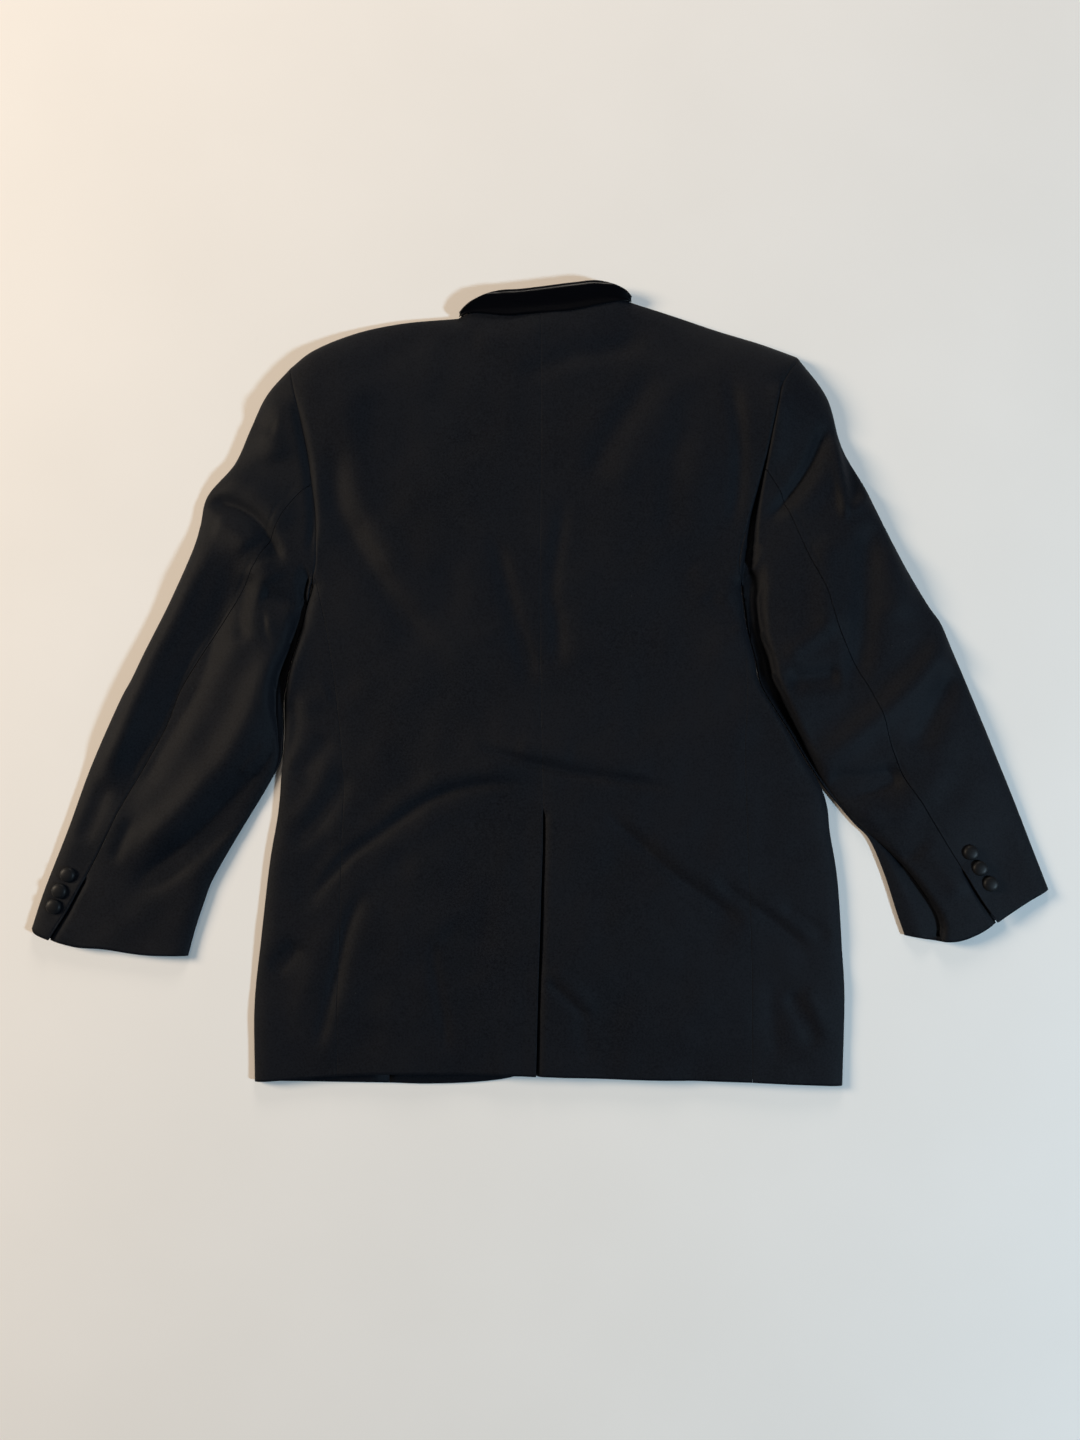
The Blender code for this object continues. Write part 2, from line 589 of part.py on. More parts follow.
def front(label, side, shoulder):
    """A front, flat under the back, from the hidden seam to its own edge and the lapel's fold."""
    below = hidden_rows(side)
    _, shares = armhole_shares(side)
    meets = nearest(below[-1:], curve(side["armhole"]))[1][0]
    above = walk(curve(side["armhole"]), [share for share in shares[:0:-1] if share < meets - SHARED_ROWS])
    outer_line = np.vstack([below, above])
    up = lengths(outer_line) / lengths(outer_line)[-1]
    across = np.linspace(0, 1, FRONT_COLUMNS + 1)
    edge = walk(curve(side["front edge"]), up)
    hem = walk(curve(side["front hem"]), across)
    head = walk(shoulder[:, :2], across)
    plan = blend(hem, head, outer_line, edge, across, up)
    overlap = 0.0
    if side is RIGHT:
        side_share = smooth((LAP_SIDE[0] - plan[..., 0]) / LAP_SIDE[1])
        overlap = LAP_RISE * side_share * smooth((LAP_TOP[0] - plan[..., 1]) / LAP_TOP[1])
    grid = inset(lower(plan, overlap), SEAM_GAP / 2)
    grid = turned(inset(turned(grid), 0.0, SEAM_GAP))
    cloth("front_" + label, [grid], WOOL)


def lapel(label, side):
    up = np.linspace(0, 1, LAPEL_ROWS + 1)
    fold = walk(curve(side["lapel roll"]), up)
    edge = walk(curve(side["lapel edge"]), up)
    across = np.linspace(0, 1, LAPEL_COLUMNS + 1)[None, :, None]
    plan = (1 - across) * fold[:, None] + across * edge[:, None]
    grid = np.concatenate([plan, np.full(plan.shape[:-1] + (1,), LAPEL_WALL / 2)], axis=-1)
    cloth("lapel_" + label, [grid], SATIN, LAPEL_WALL)


def collar():
    """The collar: its stand from the neck seam to the fold, and the leaf back over the jacket."""
    shares = np.linspace(COLLAR_ENDS, 1 - COLLAR_ENDS, COLLAR_STATIONS)
    neck = walk(curve(COLLAR_NECK), shares)
    fold = walk(curve(COLLAR_ROLL), shares)
    leaf = walk(curve(COLLAR_LEAF), shares)
    rows = []
    for start, turn, end in zip(neck, fold, leaf):
        base = loft(start[None])[0]
        depth = np.linalg.norm(turn - start)
        rise = COLLAR_HEIGHT * np.clip(depth / COLLAR_DEPTH, COLLAR_LEAST, 1.0)
        row = []
        for along, height in COLLAR_STAND:
            row.append(np.append(start + (turn - start) * along, base + rise * height))
        crown = base + rise * COLLAR_CROWN
        for along in COLLAR_FALL:
            place = turn + (end - turn) * along
            lying = loft(place[None])[0] + VENT_SINK
            fallen = crown - (crown - lying) * smooth((along - FALL_START) / FALL_LENGTH)
            row.append(np.append(place, max(lying, fallen)))
        rows.append(np.array(row))
    grid = np.array(rows)
    grid[:, 0, 1] += SEAM_GAP
    cloth("collar", [grid], SATIN)


def button(name, x, y):
    """A covered button: a domed disc on a short shank that meets the sleeve."""
    surface = loft(np.array([[x, y]]))[0] + WALL / 2 + BUTTON_LIFT
    narrower, higher = BUTTON_SHOULDER
    profile = ((0.0, 0.0), (BUTTON_SHANK, 0.0), (BUTTON_SHANK, BUTTON_SHANK_RISE), (BUTTON_RADIUS, BUTTON_EDGE),
               (BUTTON_RADIUS - narrower, BUTTON_EDGE + higher), (0.0, BUTTON_EDGE + BUTTON_DOME))
    form = bmesh.new()
    points = [form.verts.new((radius * MM, 0, height * MM)) for radius, height in profile]
    lines = [form.edges.new(pair) for pair in zip(points[:-1], points[1:])]
    bmesh.ops.spin(form, geom=points + lines, axis=(0, 0, 1), cent=(0, 0, 0), steps=BUTTON_STEPS,
                   angle=2 * math.pi)
    bmesh.ops.remove_doubles(form, verts=form.verts, dist=0.00001)
    bmesh.ops.recalc_face_normals(form, faces=form.faces)
    bmesh.ops.translate(form, verts=form.verts, vec=(x * MM, y * MM, surface * MM))
    mesh = bpy.data.meshes.new(name)
    form.to_mesh(mesh)
    form.free()
    finish(name, mesh, SATIN)


def build():
    for old in list(bpy.data.objects):
        bpy.data.objects.remove(old, do_unlink=True)
    for label, side in (("left", LEFT), ("right", RIGHT)):
        shoulder = back(label, side)
        side_body(label, side)
        front(label, side, shoulder)
        lapel(label, side)
        sleeve(label, side)
        for number, (x, y) in enumerate(BUTTONS[label], 1):
            button(f"cuff_button_{label}_{number}", x, y)
    collar()


build()
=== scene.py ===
"""The looks of a black tuxedo jacket that lies back up: wool cloth, satin collar and covered buttons.

Tables and sizes are in millimetres in the jacket's own plan: x to its right, y to its collar, z up.
Each piece of cloth is a grid of points around the same form as its solid, with finer folds.
"""

import math

import bpy
import numpy as np
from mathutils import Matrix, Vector


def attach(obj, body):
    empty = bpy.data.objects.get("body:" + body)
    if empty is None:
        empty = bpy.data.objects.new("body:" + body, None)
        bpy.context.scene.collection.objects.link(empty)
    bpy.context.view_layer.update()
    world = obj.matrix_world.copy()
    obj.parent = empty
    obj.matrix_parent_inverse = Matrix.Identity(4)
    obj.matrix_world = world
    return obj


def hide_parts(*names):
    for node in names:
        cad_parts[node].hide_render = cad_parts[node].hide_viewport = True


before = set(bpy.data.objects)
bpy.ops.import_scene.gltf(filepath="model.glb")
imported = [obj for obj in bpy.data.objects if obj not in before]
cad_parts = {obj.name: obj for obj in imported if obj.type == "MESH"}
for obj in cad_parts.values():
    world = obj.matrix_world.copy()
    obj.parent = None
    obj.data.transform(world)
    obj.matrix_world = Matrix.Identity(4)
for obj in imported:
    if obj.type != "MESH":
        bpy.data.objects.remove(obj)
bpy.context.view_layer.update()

MM = 0.001

# The tables' zero lies this far from the middle of the jacket's box
MIDDLE_X = 0.505
MIDDLE_Y = 3.063

# Cloth
WALL = 1.5
LAPEL_WALL = 1.0
SOLID_WALL = 1.6
LYING = SOLID_WALL / 2
LAYER_STEP = 1.9
CELL = 3.0

# Folded edges
EDGE_RISE = 2.8
ROUNDING = 8.0
ROUNDING_PER_LOFT = 0.9
EDGE_UPPER = (0.0, 0.3, 0.8, 1.6, 2.8, 4.5, 6.7, 9.5, 13.0, 17.0, 21.5, 26.0)
EDGE_LOWER = ((0.4, 1.1), (0.9, 0.6), (1.8, 0.25), (4.0, 0.0))
LONGEST_ROUNDING = 40.0
NARROW = 30.0
TURN_SHARE = 0.08
MOST_SLANT = 1.8

# The lapels lie under the fronts and hold them off the surface, less and less beyond their reach
LAPEL_LIFT = LAPEL_WALL + 0.5
LAPEL_REACH = 72.0
LAPEL_FADE = 34.0

# Height of the upper layer
HEM_LOFT = 8.0
LEAST_LOFT = 6.4
LEAST_CREVICE = 2.8
FOLD_REACH = 3
FOLD_FADE = 0.22
FOLD_END = 0.06

# A sleeve's shelf: cloth that lies low along the inner edge before it banks up to the sleeve's loft
SHELF_RISE = 4.6
SHELF_RISE_FULL = 22.0
SHELF_RISE_SLOPE = 7.0
SHELF_TOP = (0.35, 0.6)
SHELF_SINK = 0.6
SHELF_SINK_FULL = 5.0
SHELF_SINK_SLOPE = 3.0
SHELF_STEEPER = 0.5
SHELF_STEEPER_FULL = 6.0

LOFTS = (
    # name, centre x, y, reach x, y, rise
    ("left blade", -105, 215, 95, 130, 7.0),
    ("right blade", 105, 225, 95, 130, 7.5),
    ("nape", 5, 345, 90, 55, 6.0),
    ("left shoulder pad", -222, 285, 62, 70, 17.0),
    ("right shoulder pad", 228, 295, 62, 70, 17.0),
    ("left upper arm", -300, 110, 60, 120, 11.0),
    ("right upper arm", 318, 110, 62, 125, 12.0),
    ("left forearm", -375, -70, 60, 95, 6.5),
    ("right forearm", 395, -60, 62, 95, 7.5),
    ("waist roll", -15, -75, 190, 32, 4.0),
    ("right skirt", 130, -235, 120, 110, 4.5),
    ("left skirt", -130, -270, 95, 110, 3.5),
    ("vent", 5, -300, 60, 170, 2.0),
    ("right side by the gap", 190, 20, 32, 100, 5.5),
    ("right sleeve by the gap", 250, 20, 34, 110, 8.5),
    ("left sleeve by the body", -282, 30, 34, 80, 3.0),
    ("right cuff", 408, -205, 36, 44, 4.5),
)

# Creases: name, the line each follows, its half width, and its rise, below zero for a trough
FOLDS = (
    ("waist arc left", ((-8, -100), (-55, -101), (-93, -109), (-123, -124), (-156, -148), (-189, -171),
                        (-212, -196), (-232, -222)), 5.5, -3.6),
    ("waist arc left crest", ((-20, -88), (-60, -88), (-93, -95), (-130, -112), (-170, -142)), 10, 1.6),
    ("waist arc left swell", ((-40, -122), (-90, -128), (-140, -158), (-180, -190)), 13, 1.8),
    ("waist arc right", ((-66, -60), (-40, -71), (-5, -81), (40, -91), (90, -98), (136, -108)), 5, -3.4),
    ("waist arc right crest", ((-52, -54), (-20, -64), (20, -72), (70, -80), (120, -90)), 10, 2.0),
    ("waist bright", ((-25, -64), (5, -70), (35, -72)), 12, 1.6),
    ("skirt diagonal", ((64, -129), (107, -167), (137, -193), (168, -215), (205, -243)), 6, -3.2),
    ("skirt diagonal crest", ((70, -120), (119, -158), (176, -200), (212, -228)), 9, 1.8),
    ("skirt below the diagonal", ((100, -182), (150, -226), (196, -262)), 17, -1.6),
    ("skirt second diagonal", ((170, -194), (224, -231), (271, -269)), 6, -2.6),
    ("skirt second crest", ((180, -186), (232, -221), (279, -258)), 9, 1.6),
    ("skirt third diagonal", ((240, -221), (290, -255)), 6, -2.2),
    ("right corner", ((246, -305), (262, -335), (275, -364)), 8, -3.0),
    ("right corner crest", ((262, -300), (276, -330), (286, -356)), 9, 1.8),
    ("right side long", ((228, -296), (236, -376)), 9, -1.6),
    ("vent crease", ((6, -292), (36, -322), (50, -334)), 5, -2.4),
    ("vent crease crest", ((10, -282), (42, -312), (58, -326)), 8, 1.5),
    ("vent lower crease", ((40, -330), (44, -352), (52, -378)), 9, -1.2),
    ("left skirt", ((-174, -203), (-190, -240), (-200, -282), (-210, -322), (-222, -368)), 7, -3.2),
    ("left skirt crest", ((-156, -205), (-174, -250), (-186, -300), (-196, -350)), 12, 1.3),
    ("left skirt outer crest", ((-205, -232), (-226, -290), (-244, -345)), 13, 1.5),
    ("left skirt panel edge", ((-107, -248), (-104, -290), (-96, -330), (-92, -370)), 6, -1.4),
    ("left skirt panel", ((-96, -240), (-78, -258), (-62, -300)), 18, -1.3),
    ("left of the vent", ((-42, -190), (-52, -230), (-60, -270)), 16, -1.4),
    ("left side crest", ((-205, -70), (-216, -96), (-234, -124), (-254, -146)), 10, 2.0),
    ("left side valley", ((-210, -52), (-226, -74), (-244, -94)), 10, -2.0),
    ("left side lower valley", ((-192, -84), (-205, -116), (-228, -146), (-250, -168)), 10, -2.4),
    ("left side below", ((-204, -150), (-226, -190), (-236, -230)), 14, -1.8),
    ("left side above", ((-208, -8), (-226, -18), (-244, -26)), 12, 1.8),
    ("left corner", ((-240, -258), (-266, -290)), 9, -2.8),
    ("back left of centre", ((-56, 150), (-42, 130), (-32, 90), (-22, 52), (-6, -6)), 9, -3.0),
    ("back left of centre crest", ((-72, 128), (-58, 80), (-44, 34)), 16, 1.1),
    ("back right of centre", ((26, 190), (18, 140), (12, 92), (17, 60), (18, 10)), 8, -2.6),
    ("back right of centre crest", ((38, 120), (40, 60), (34, 10)), 15, 1.1),
    ("below collar", ((-30, 316), (0, 318), (42, 332), (82, 340), (112, 352)), 12, -3.0),
    ("neck swell", ((-70, 345), (-30, 348), (10, 352)), 13, 1.6),
    ("right shoulder diagonal", ((120, 322), (96, 286), (76, 254), (44, 200)), 13, -3.4),
    ("right shoulder diagonal crest", ((150, 318), (124, 272), (98, 228), (70, 180)), 16, 1.8),
    ("right blade", ((143, 264), (131, 204), (126, 144)), 13, -2.4),
    ("right blade crest", ((166, 300), (163, 240), (158, 170), (150, 110)), 15, 1.2),
    ("right armhole trough", ((188, 312), (199, 254), (200, 200), (192, 150)), 8, -3.6),
    ("right armhole foot", ((166, 92), (184, 70), (200, 52)), 9, -2.0),
    ("right side above", ((150, 116), (178, 92), (196, 84)), 10, 1.6),
    ("left blade crest", ((-190, 318), (-188, 236), (-176, 180), (-152, 136), (-124, 96)), 15, 2.5),
    ("left blade line", ((-178, 158), (-158, 128), (-141, 104)), 3.5, 0.6),
    ("left blade valley", ((-208, 240), (-202, 176), (-172, 118), (-141, 72), (-108, 30)), 13, -3.9),
    ("left waist valley", ((-120, 60), (-104, 18), (-92, -30)), 20, -1.6),
    ("left armhole hollow", ((-246, 290), (-236, 240), (-231, 205), (-228, 160),
                             (-232, 122)), 4.5, -3.4),
    ("left sleeve head", ((-262, 288), (-268, 256), (-262, 220)), 14, 3.6),
    ("left sleeve nick", ((-290, 262), (-262, 254)), 8, -3.0),
    ("left sleeve upper", ((-342, 184), (-322, 182), (-300, 174), (-282, 160), (-268, 136),
                           (-258, 112)), 7.5, -7.4),
    ("left sleeve upper crest", ((-328, 210), (-298, 200), (-272, 182), (-250, 154)), 12, 3.0),
    ("left sleeve upper swell", ((-328, 160), (-304, 150), (-288, 132)), 11, 3.4),
    ("left sleeve upright", ((-290, 112), (-295, 84), (-298, 58), (-294, 38)), 9, -4.0),
    ("left sleeve knot", ((-276, 122), (-268, 100)), 11, 2.0),
    ("left sleeve short", ((-238, 80), (-258, 83), (-280, 90)), 8, -4.2),
    ("left sleeve short swell", ((-246, 60), (-274, 56)), 13, 3.0),
    ("left outer ridge", ((-318, 150), (-346, 118), (-370, 64), (-394, 16), (-420, -56),
                          (-444, -116)), 14, 7.6),
    ("left long valley", ((-304, 142), (-305, 104), (-316, 72), (-334, 36), (-350, 0), (-374, -48),
                          (-400, -92), (-420, -132)), 18, -9.4),
    ("left broad ridge", ((-254, 52), (-266, 14), (-281, -16), (-295, -48), (-311, -78), (-337, -106),
                          (-368, -138), (-400, -169), (-424, -190)), 17, 8.0),
    ("left elbow hollow", ((-247, 0), (-258, -54), (-275, -88), (-306, -124), (-341, -158),
                           (-375, -186), (-414, -212)), 12, -9.0),
    ("left elbow sliver", ((-268, -58), (-284, -79), (-298, -95)), 4.5, 3.6),
    ("left cuff valley", ((-405, -134), (-417, -160), (-425, -180)), 6, -2.2),
    ("left above the buttons", ((-430, -96), (-446, -134), (-458, -160)), 9, -2.4),
    ("right sleeve head", ((236, 300), (238, 262), (232, 220)), 12, 3.2),
    ("right sleeve upper", ((292, 268), (280, 238), (268, 212), (254, 192), (228, 160)), 7, -6.6),
    ("right sleeve upper crest", ((306, 246), (290, 214), (274, 188), (258, 166)), 11, 2.2),
    ("right outer line", ((295, 252), (299, 226), (302, 200), (305, 158)), 4.5, 5.0),
    ("right outer tuck", ((308, 246), (314, 214), (320, 178)), 8, -6.0),
    ("right outer second line", ((334, 200), (322, 182), (308, 168)), 6, 2.6),
    ("right sleeve valley", ((336, 176), (327, 122), (324, 70), (319, 22), (310, -14)), 14, -7.4),
    ("right sleeve middle", ((284, 150), (286, 90), (284, 44)), 14, 3.6),
    ("right outer swell", ((352, 140), (358, 100), (352, 60)), 14, 3.8),
    ("right sleeve short crest", ((242, 24), (268, 42), (294, 62)), 9, 2.8),
    ("right sleeve short", ((244, 0), (272, 5), (302, 9)), 11, -6.0),
    ("right elbow crest", ((422, 54), (400, 32), (377, 6), (343, -28), (296, -66), (270, -80)), 14, 6.6),
    ("right elbow hollow", ((284, -104), (316, -102), (346, -96), (364, -88)), 12, -8.4),
    ("right elbow upper hollow", ((370, -72), (396, -24), (418, 18)), 13, -5.4),
    ("right forearm crest", ((306, -130), (340, -132), (376, -118), (412, -72)), 15, 2.8),
    ("right forearm line", ((330, -150), (352, -170), (380, -174)), 5, -1.6),
    ("right cuff swell", ((376, -160), (404, -188), (420, -214)), 12, 3.0),
)

SLEEVE_LEFT = (
    # outer x, outer y, inner x, inner y, shelf, seam
    (-253, 320, -233.5, 104.5, 0, 0.55),
    (-277, 292, -236, 91, 0, 0.52),
    (-293, 258, -237.6, 76, 2, 0.48),
    (-309, 222, -244.7, 46, 4, 0.46),
    (-336, 190, -253.2, 16, 6, 0.48),
    (-343, 160, -258.7, -17, 9, 0.43),
    (-351, 133, -258.6, -47, 8, 0.37),
    (-373, 82, -261, -77, 3, 0.31),
    (-397, 33, -274, -103, 0, 0.29),
    (-410, 5, -290, -130, 0, 0.31),
    (-423, -20, -308, -160, 0, 0.32),
    (-451, -86, -328, -196, 0, 0.29),
    (-472, -146, -336, -217, 0, 0.25),
    (-495, -207, -345, -245, 0, 0.20),
    (-507, -245, -352, -272, 0, 0.14),
)
SLEEVE_RIGHT = (
    # outer x, outer y, inner x, inner y, shelf, seam
    (261, 331, 209, 109, 0, 0.50),
    (291, 290, 210.2, 96, 5, 0.50),
    (305, 241, 209.5, 80, 10, 0.47),
    (328, 199, 211.3, 52, 12, 0.47),
    (348, 158, 218, 24, 12, 0.46),
    (366, 122, 222.9, 0, 14, 0.48),
    (382, 94, 235, -22, 12, 0.50),
    (393, 76, 251.1, -48, 8, 0.51),
    (404, 60, 268.3, -77, 5, 0.52),
    (414, 35, 283.5, -101, 3, 0.54),
    (424, 11, 299, -121, 2, 0.58),
    (438, -24, 315, -140, 2, 0.60),
    (454, -64, 331, -157, 5, 0.59),
    (474, -115, 345, -190, 21, 0.54),
    (496, -174, 357, -228, 37, 0.46),
    (508, -206, 365, -252, 34, 0.40),
)
HIDDEN_SEAM = 34.0

LEFT = {
    "edge": ((-283, -396), (-284, -321), (-278, -256), (-270, -180), (-262, -130), (-259, -90),
             (-256, -50), (-256, -16), (-251, 14), (-242, 46), (-234.5, 76), (-229, 98)),
    "side seam": ((-201, -390), (-201, -319), (-199, -244), (-198, -169), (-196, -117), (-198, -67),
                  (-204, -15), (-210, 29), (-217, 67), (-226, 108)),
    "hidden seam": ((-150, -398), (-150, -250), (-148, -100), (-155, 0), (-185, 70), (-225, 116)),
    "shoulder": ((-253, 320), (-230, 338), (-190, 355), (-140, 366), (-83, 371)),
    "armhole": ((-253, 320), (-250, 309), (-241, 272), (-234, 236), (-230, 205), (-226, 170),
                (-225, 137), (-226.5, 113), (-233.5, 104.5)),
    "neck": ((-83, 371), (-60, 377), (-20, 381), (0.5, 383)),
    "hem": ((-201, -390), (-157, -388), (-100, -388), (-40, -389), (-4, -390)),
    "front hem": ((-150, -398), (-110, -399), (-60, -397), (-22, -391), (8, -375), (24, -350),
                  (28, -320)),
    "front edge": ((28, -320), (24, -200), (18, -60), (-22, 90), (-60, 240), (-83, 366)),
    "lapel roll": ((-4, 22), (-22, 90), (-60, 240), (-80, 350)),
    "lapel edge": ((-22, 22), (-82, 100), (-128, 215), (-112, 345)),
    "cuff": ((-507, -245), (-499, -252), (-464, -263), (-435, -265), (-395, -271), (-352, -272)),
    "sleeve": SLEEVE_LEFT,
}
RIGHT = {
    "edge": ((300, -400), (303, -315), (301, -266), (297, -196), (290, -150), (287.5, -124), (280, -101),
             (264, -75), (247.5, -47), (229, -17), (219, 3), (215, 26), (207, 60), (202.5, 99)),
    "side seam": ((210, -396), (210, -293), (208, -219), (206, -143), (204, -68), (206, -17), (205, 32),
                  (202, 66), (200, 108)),
    "hidden seam": ((160, -392), (160, -250), (158, -100), (160, 0), (180, 70), (198, 118)),
    "shoulder": ((261, 331), (220, 346), (180, 358), (140, 372), (94, 387)),
    "armhole": ((261, 331), (257, 322), (241, 295), (228, 236), (217, 185), (207, 154), (201, 132),
                (200, 113), (209, 109)),
    "neck": ((94, 387), (60, 388), (20, 384), (0.5, 383)),
    "hem": ((210, -396), (109, -394), (50, -392.5), (-4, -391)),
    "front hem": ((160, -392), (110, -391), (60, -388), (20, -378), (-5, -362), (-20, -340),
                  (-26, -310)),
    "front edge": ((-26, -310), (-24, -200), (-18, -60), (22, 90), (64, 240), (94, 382)),
    "lapel roll": ((4, 22), (22, 90), (64, 240), (90, 362)),
    "lapel edge": ((22, 22), (84, 100), (134, 215), (122, 350)),
    "cuff": ((508, -206), (488, -217), (458, -236), (434, -251), (407, -258), (365, -252)),
    "sleeve": SLEEVE_RIGHT,
}
CENTRE = ((-4, -390), (-2, -312), (1, -215), (3, -133), (1, -18), (0, 82), (1, 220), (1, 339),
          (0.5, 383))
SHOULDER_SPAN = 150.0
NECK_SPAN = 75.0
VENT_TOP = -133
VENT_LAP = 36.0
VENT_SLOPE = 9.0

# Collar: its fold, its leaf's edge, where the fold is fullest, and the neck seam that it stands on
COLLAR_ROLL = ((-84, 373), (-70, 385), (-45, 395), (-20, 397), (5, 400), (35, 404), (60, 406),
               (85, 398), (95, 389))
COLLAR_LEAF = ((-85, 370.5), (-75, 374), (-62, 374.5), (-34, 371.5), (-13, 373), (19, 375), (40, 378),
               (62, 383), (82, 387), (96, 387.5))
COLLAR_ROLLED = (-56, 76)
COLLAR_FADE = 16.0
COLLAR_WALL = 1.6
COLLAR_STAND = 4.6
COLLAR_STAND_REACH = 14.0
COLLAR_STAND_LEAST = 0.55
COLLAR_CROWN = 1.25
COLLAR_ENDS = (0.02, 0.98)
COLLAR_PROFILE = ((0.0, 0.0), (0.4, 0.15), (0.8, 0.35), (0.95, 0.62), (1.0, 0.9))
COLLAR_TURN = (0.02, 0.05, 0.09, 0.13, 0.17, 0.21, 0.25, 0.3, 0.36)
COLLAR_FALL = (0.05, 0.7)

# How far the fold is rounded, and how far it drops there: everywhere, and more where it is fullest
COLLAR_ROUNDING = (1.6, 4.6)
COLLAR_DROP = (1.0, 4.2)
COLLAR_NECK = ((-83, 371.5), (-60, 377), (-20, 381), (0.5, 383), (20, 384), (60, 388), (94, 387.5))

BUTTONS = {
    "left": ((-470, -191), (-478, -207), (-483.5, -222.5)),
    "right": ((428, -169), (437, -184.5), (447.5, -200)),
}
BUTTON_RADIUS = 7.5
BUTTON_LIFT = 0.1
BUTTON_AROUND = 48

# A button's half section, from its shank out over the rim to the top of its dome: radius, height
BUTTON_PROFILE = ((2.2, 0.0), (2.2, 0.6), (5.0, 0.7), (7.0, 0.9), (BUTTON_RADIUS, 1.5), (7.1, 2.6),
                  (6.2, 3.6), (4.8, 4.3), (3.1, 4.7), (1.5, 4.85), (0.05, 4.9))

# The crevice beside the right armhole, which the sleeve's head stands over: x, y, half width, depth
CREVICE = (
    (243, 307, 0.8, 0.6),
    (238, 285, 1.0, 1.2),
    (230, 239, 1.3, 2.4),
    (224, 209, 1.9, 5.0),
    (216, 171.5, 3.6, 9.0),
    (212, 141, 4.8, 11.0),
    (209, 112, 6.0, 12.0),
    (208.5, 95.5, 6.5, 12.0),
)
CREVICE_REACH = 30.0

# Where the folded edges stand steep: centre x, y, reach x, y, and how much steeper
STEEP_EDGES = (
    (236, -10, 50, 110, 0.80),
    (-252, 10, 34, 90, 0.62),
    (372, -215, 60, 60, 0.60),
)

# Sewing: the groove that a seam pulls into the cloth, and the pressed allowance beside it
SEAM_DEPTH = {"centre": 0.20, "side seam": 0.10, "armhole": 0.90, "elbow": 0.50}
SEAM_GAP = 0.30
SEAM_HALF = 0.8
ALLOWANCE_RISE = 0.07
ALLOWANCE_AT = 9.0
ALLOWANCE_HALF = 4.0
PUCKER = 0.04
PUCKER_REACH = 6.5
SEWING_REACH = 24.0
BESIDE_SEAM = 0.8

# Pressed cloth's slight waviness: how many waves, their lengths, and their height for their length
WAVES = 46
WAVE_LENGTHS = (28.0, 120.0)
WAVE_RISE = 0.0016
WAVE_SEED = 5

# The centre vent's dark line, and the cuff vents' flaps
VENT_GROOVE = 3.4
VENT_GROOVE_HALF = 1.6
VENT_GROOVE_LAP = 12.0
VENT_OPENS = (9.0, 12.0)
VENT_EDGE = 0.5
VENT_EDGE_WANDER = 0.25
VENT_EDGE_WAVE = 23.0
VENT_EDGE_SLOPE = 14.0
VENT_EDGE_FADE = 60.0
LAYER_GAP = 0.1
CUFF_VENT = 62.0
FLAP_RISE = 1.2
FLAP_SLOPE = 14.0
CUFF_GROOVE = 2.4
CUFF_GROOVE_SLOPE = (3.0, 8.0)
CUFF_VENT_OPENS = 8.0

# Columns of points beside an edge or a seam
BESIDE_BACK = (SEAM_GAP, BESIDE_SEAM, 1.6, 2.6, 3.8, 5.2, 7.0, 9.0)
BESIDE_ARMHOLE = (SEAM_GAP, BESIDE_SEAM, 1.6, 2.6, 3.8, 5.2, 6.8, 8.6, 10.8, 13.2)
SHELF_FOOT = (0.0, 0.3, 0.9, 2.0)
SHELF_BANK = (0.2, 0.5, 1.0, 1.8, 3.0, 4.6, 6.8, 9.5, 13.0, 17.5, 23.0)

# Where the side seam runs into the armhole, and where a front starts past it and ends
ARMHOLE_FOOT = 10.0
FRONT_START = 0.02
FRONT_END = 4.4

# The right front lies over the left one, below this x and this y, and fades over these lengths
FRONT_LAP_RISE = LAYER_STEP + 0.7
FRONT_LAP = (88.0, 90.0)
FRONT_LAP_FADE = (38.0, 45.0)

# Colours, from the darkest to the lightest, and the satin's roughness
WOOL_DARK = (0.0030, 0.0035, 0.0055)
WOOL_LIGHT = (0.0080, 0.0091, 0.0124)
SATIN_LOOK = ((0.0005, 0.0007, 0.0016), (0.0012, 0.0015, 0.0028), 0.25, 0.31)
# The buttons' satin colours are lighter than the collar's: painted sheen for the soft shine over their
# domes, beside their own roughness
BUTTON_PAINTED_SHEEN_LOOK = ((0.0050, 0.0054, 0.0068), (0.0100, 0.0106, 0.0124), 0.40, 0.50)
THREADS = 320.0
SLEEVE_GRAIN = 0.42

# Camera and light
LENS = 27.03
SENSOR = 36.0
CAMERA_TILT = math.radians(2.0)
CAMERA_AWAY = 1081.0
CAMERA_LOOK = (0.0, -37.0, 10.0)


def curve(points, steps=8):
    """A smooth line through the points, or rows of any number of columns."""
    rows = np.array(points, float)
    padded = np.vstack([2 * rows[0] - rows[1], rows, 2 * rows[-1] - rows[-2]])
    share = np.linspace(0, 1, steps, endpoint=False)[:, None]
    spans = []
    for a, b, c, d in zip(padded[:-3], padded[1:-2], padded[2:-1], padded[3:]):
        cubic = (2 * a - 5 * b + 4 * c - d) * share**2 + (3 * b - a - 3 * c + d) * share**3
        spans.append(0.5 * (2 * b + (c - a) * share + cubic))
    return np.vstack(spans + [rows[-1:]])


def lengths(line):
    """How far along the line each of its points is."""
    return np.concatenate([[0.0], np.cumsum(np.linalg.norm(np.diff(line[:, :2], axis=0), axis=1))])


def walk(line, shares):
    """The line's points at shares of its length, 0 to 1."""
    run = lengths(line)
    at = np.asarray(shares, float) * run[-1]
    return np.stack([np.interp(at, run, column) for column in line.T], axis=-1)


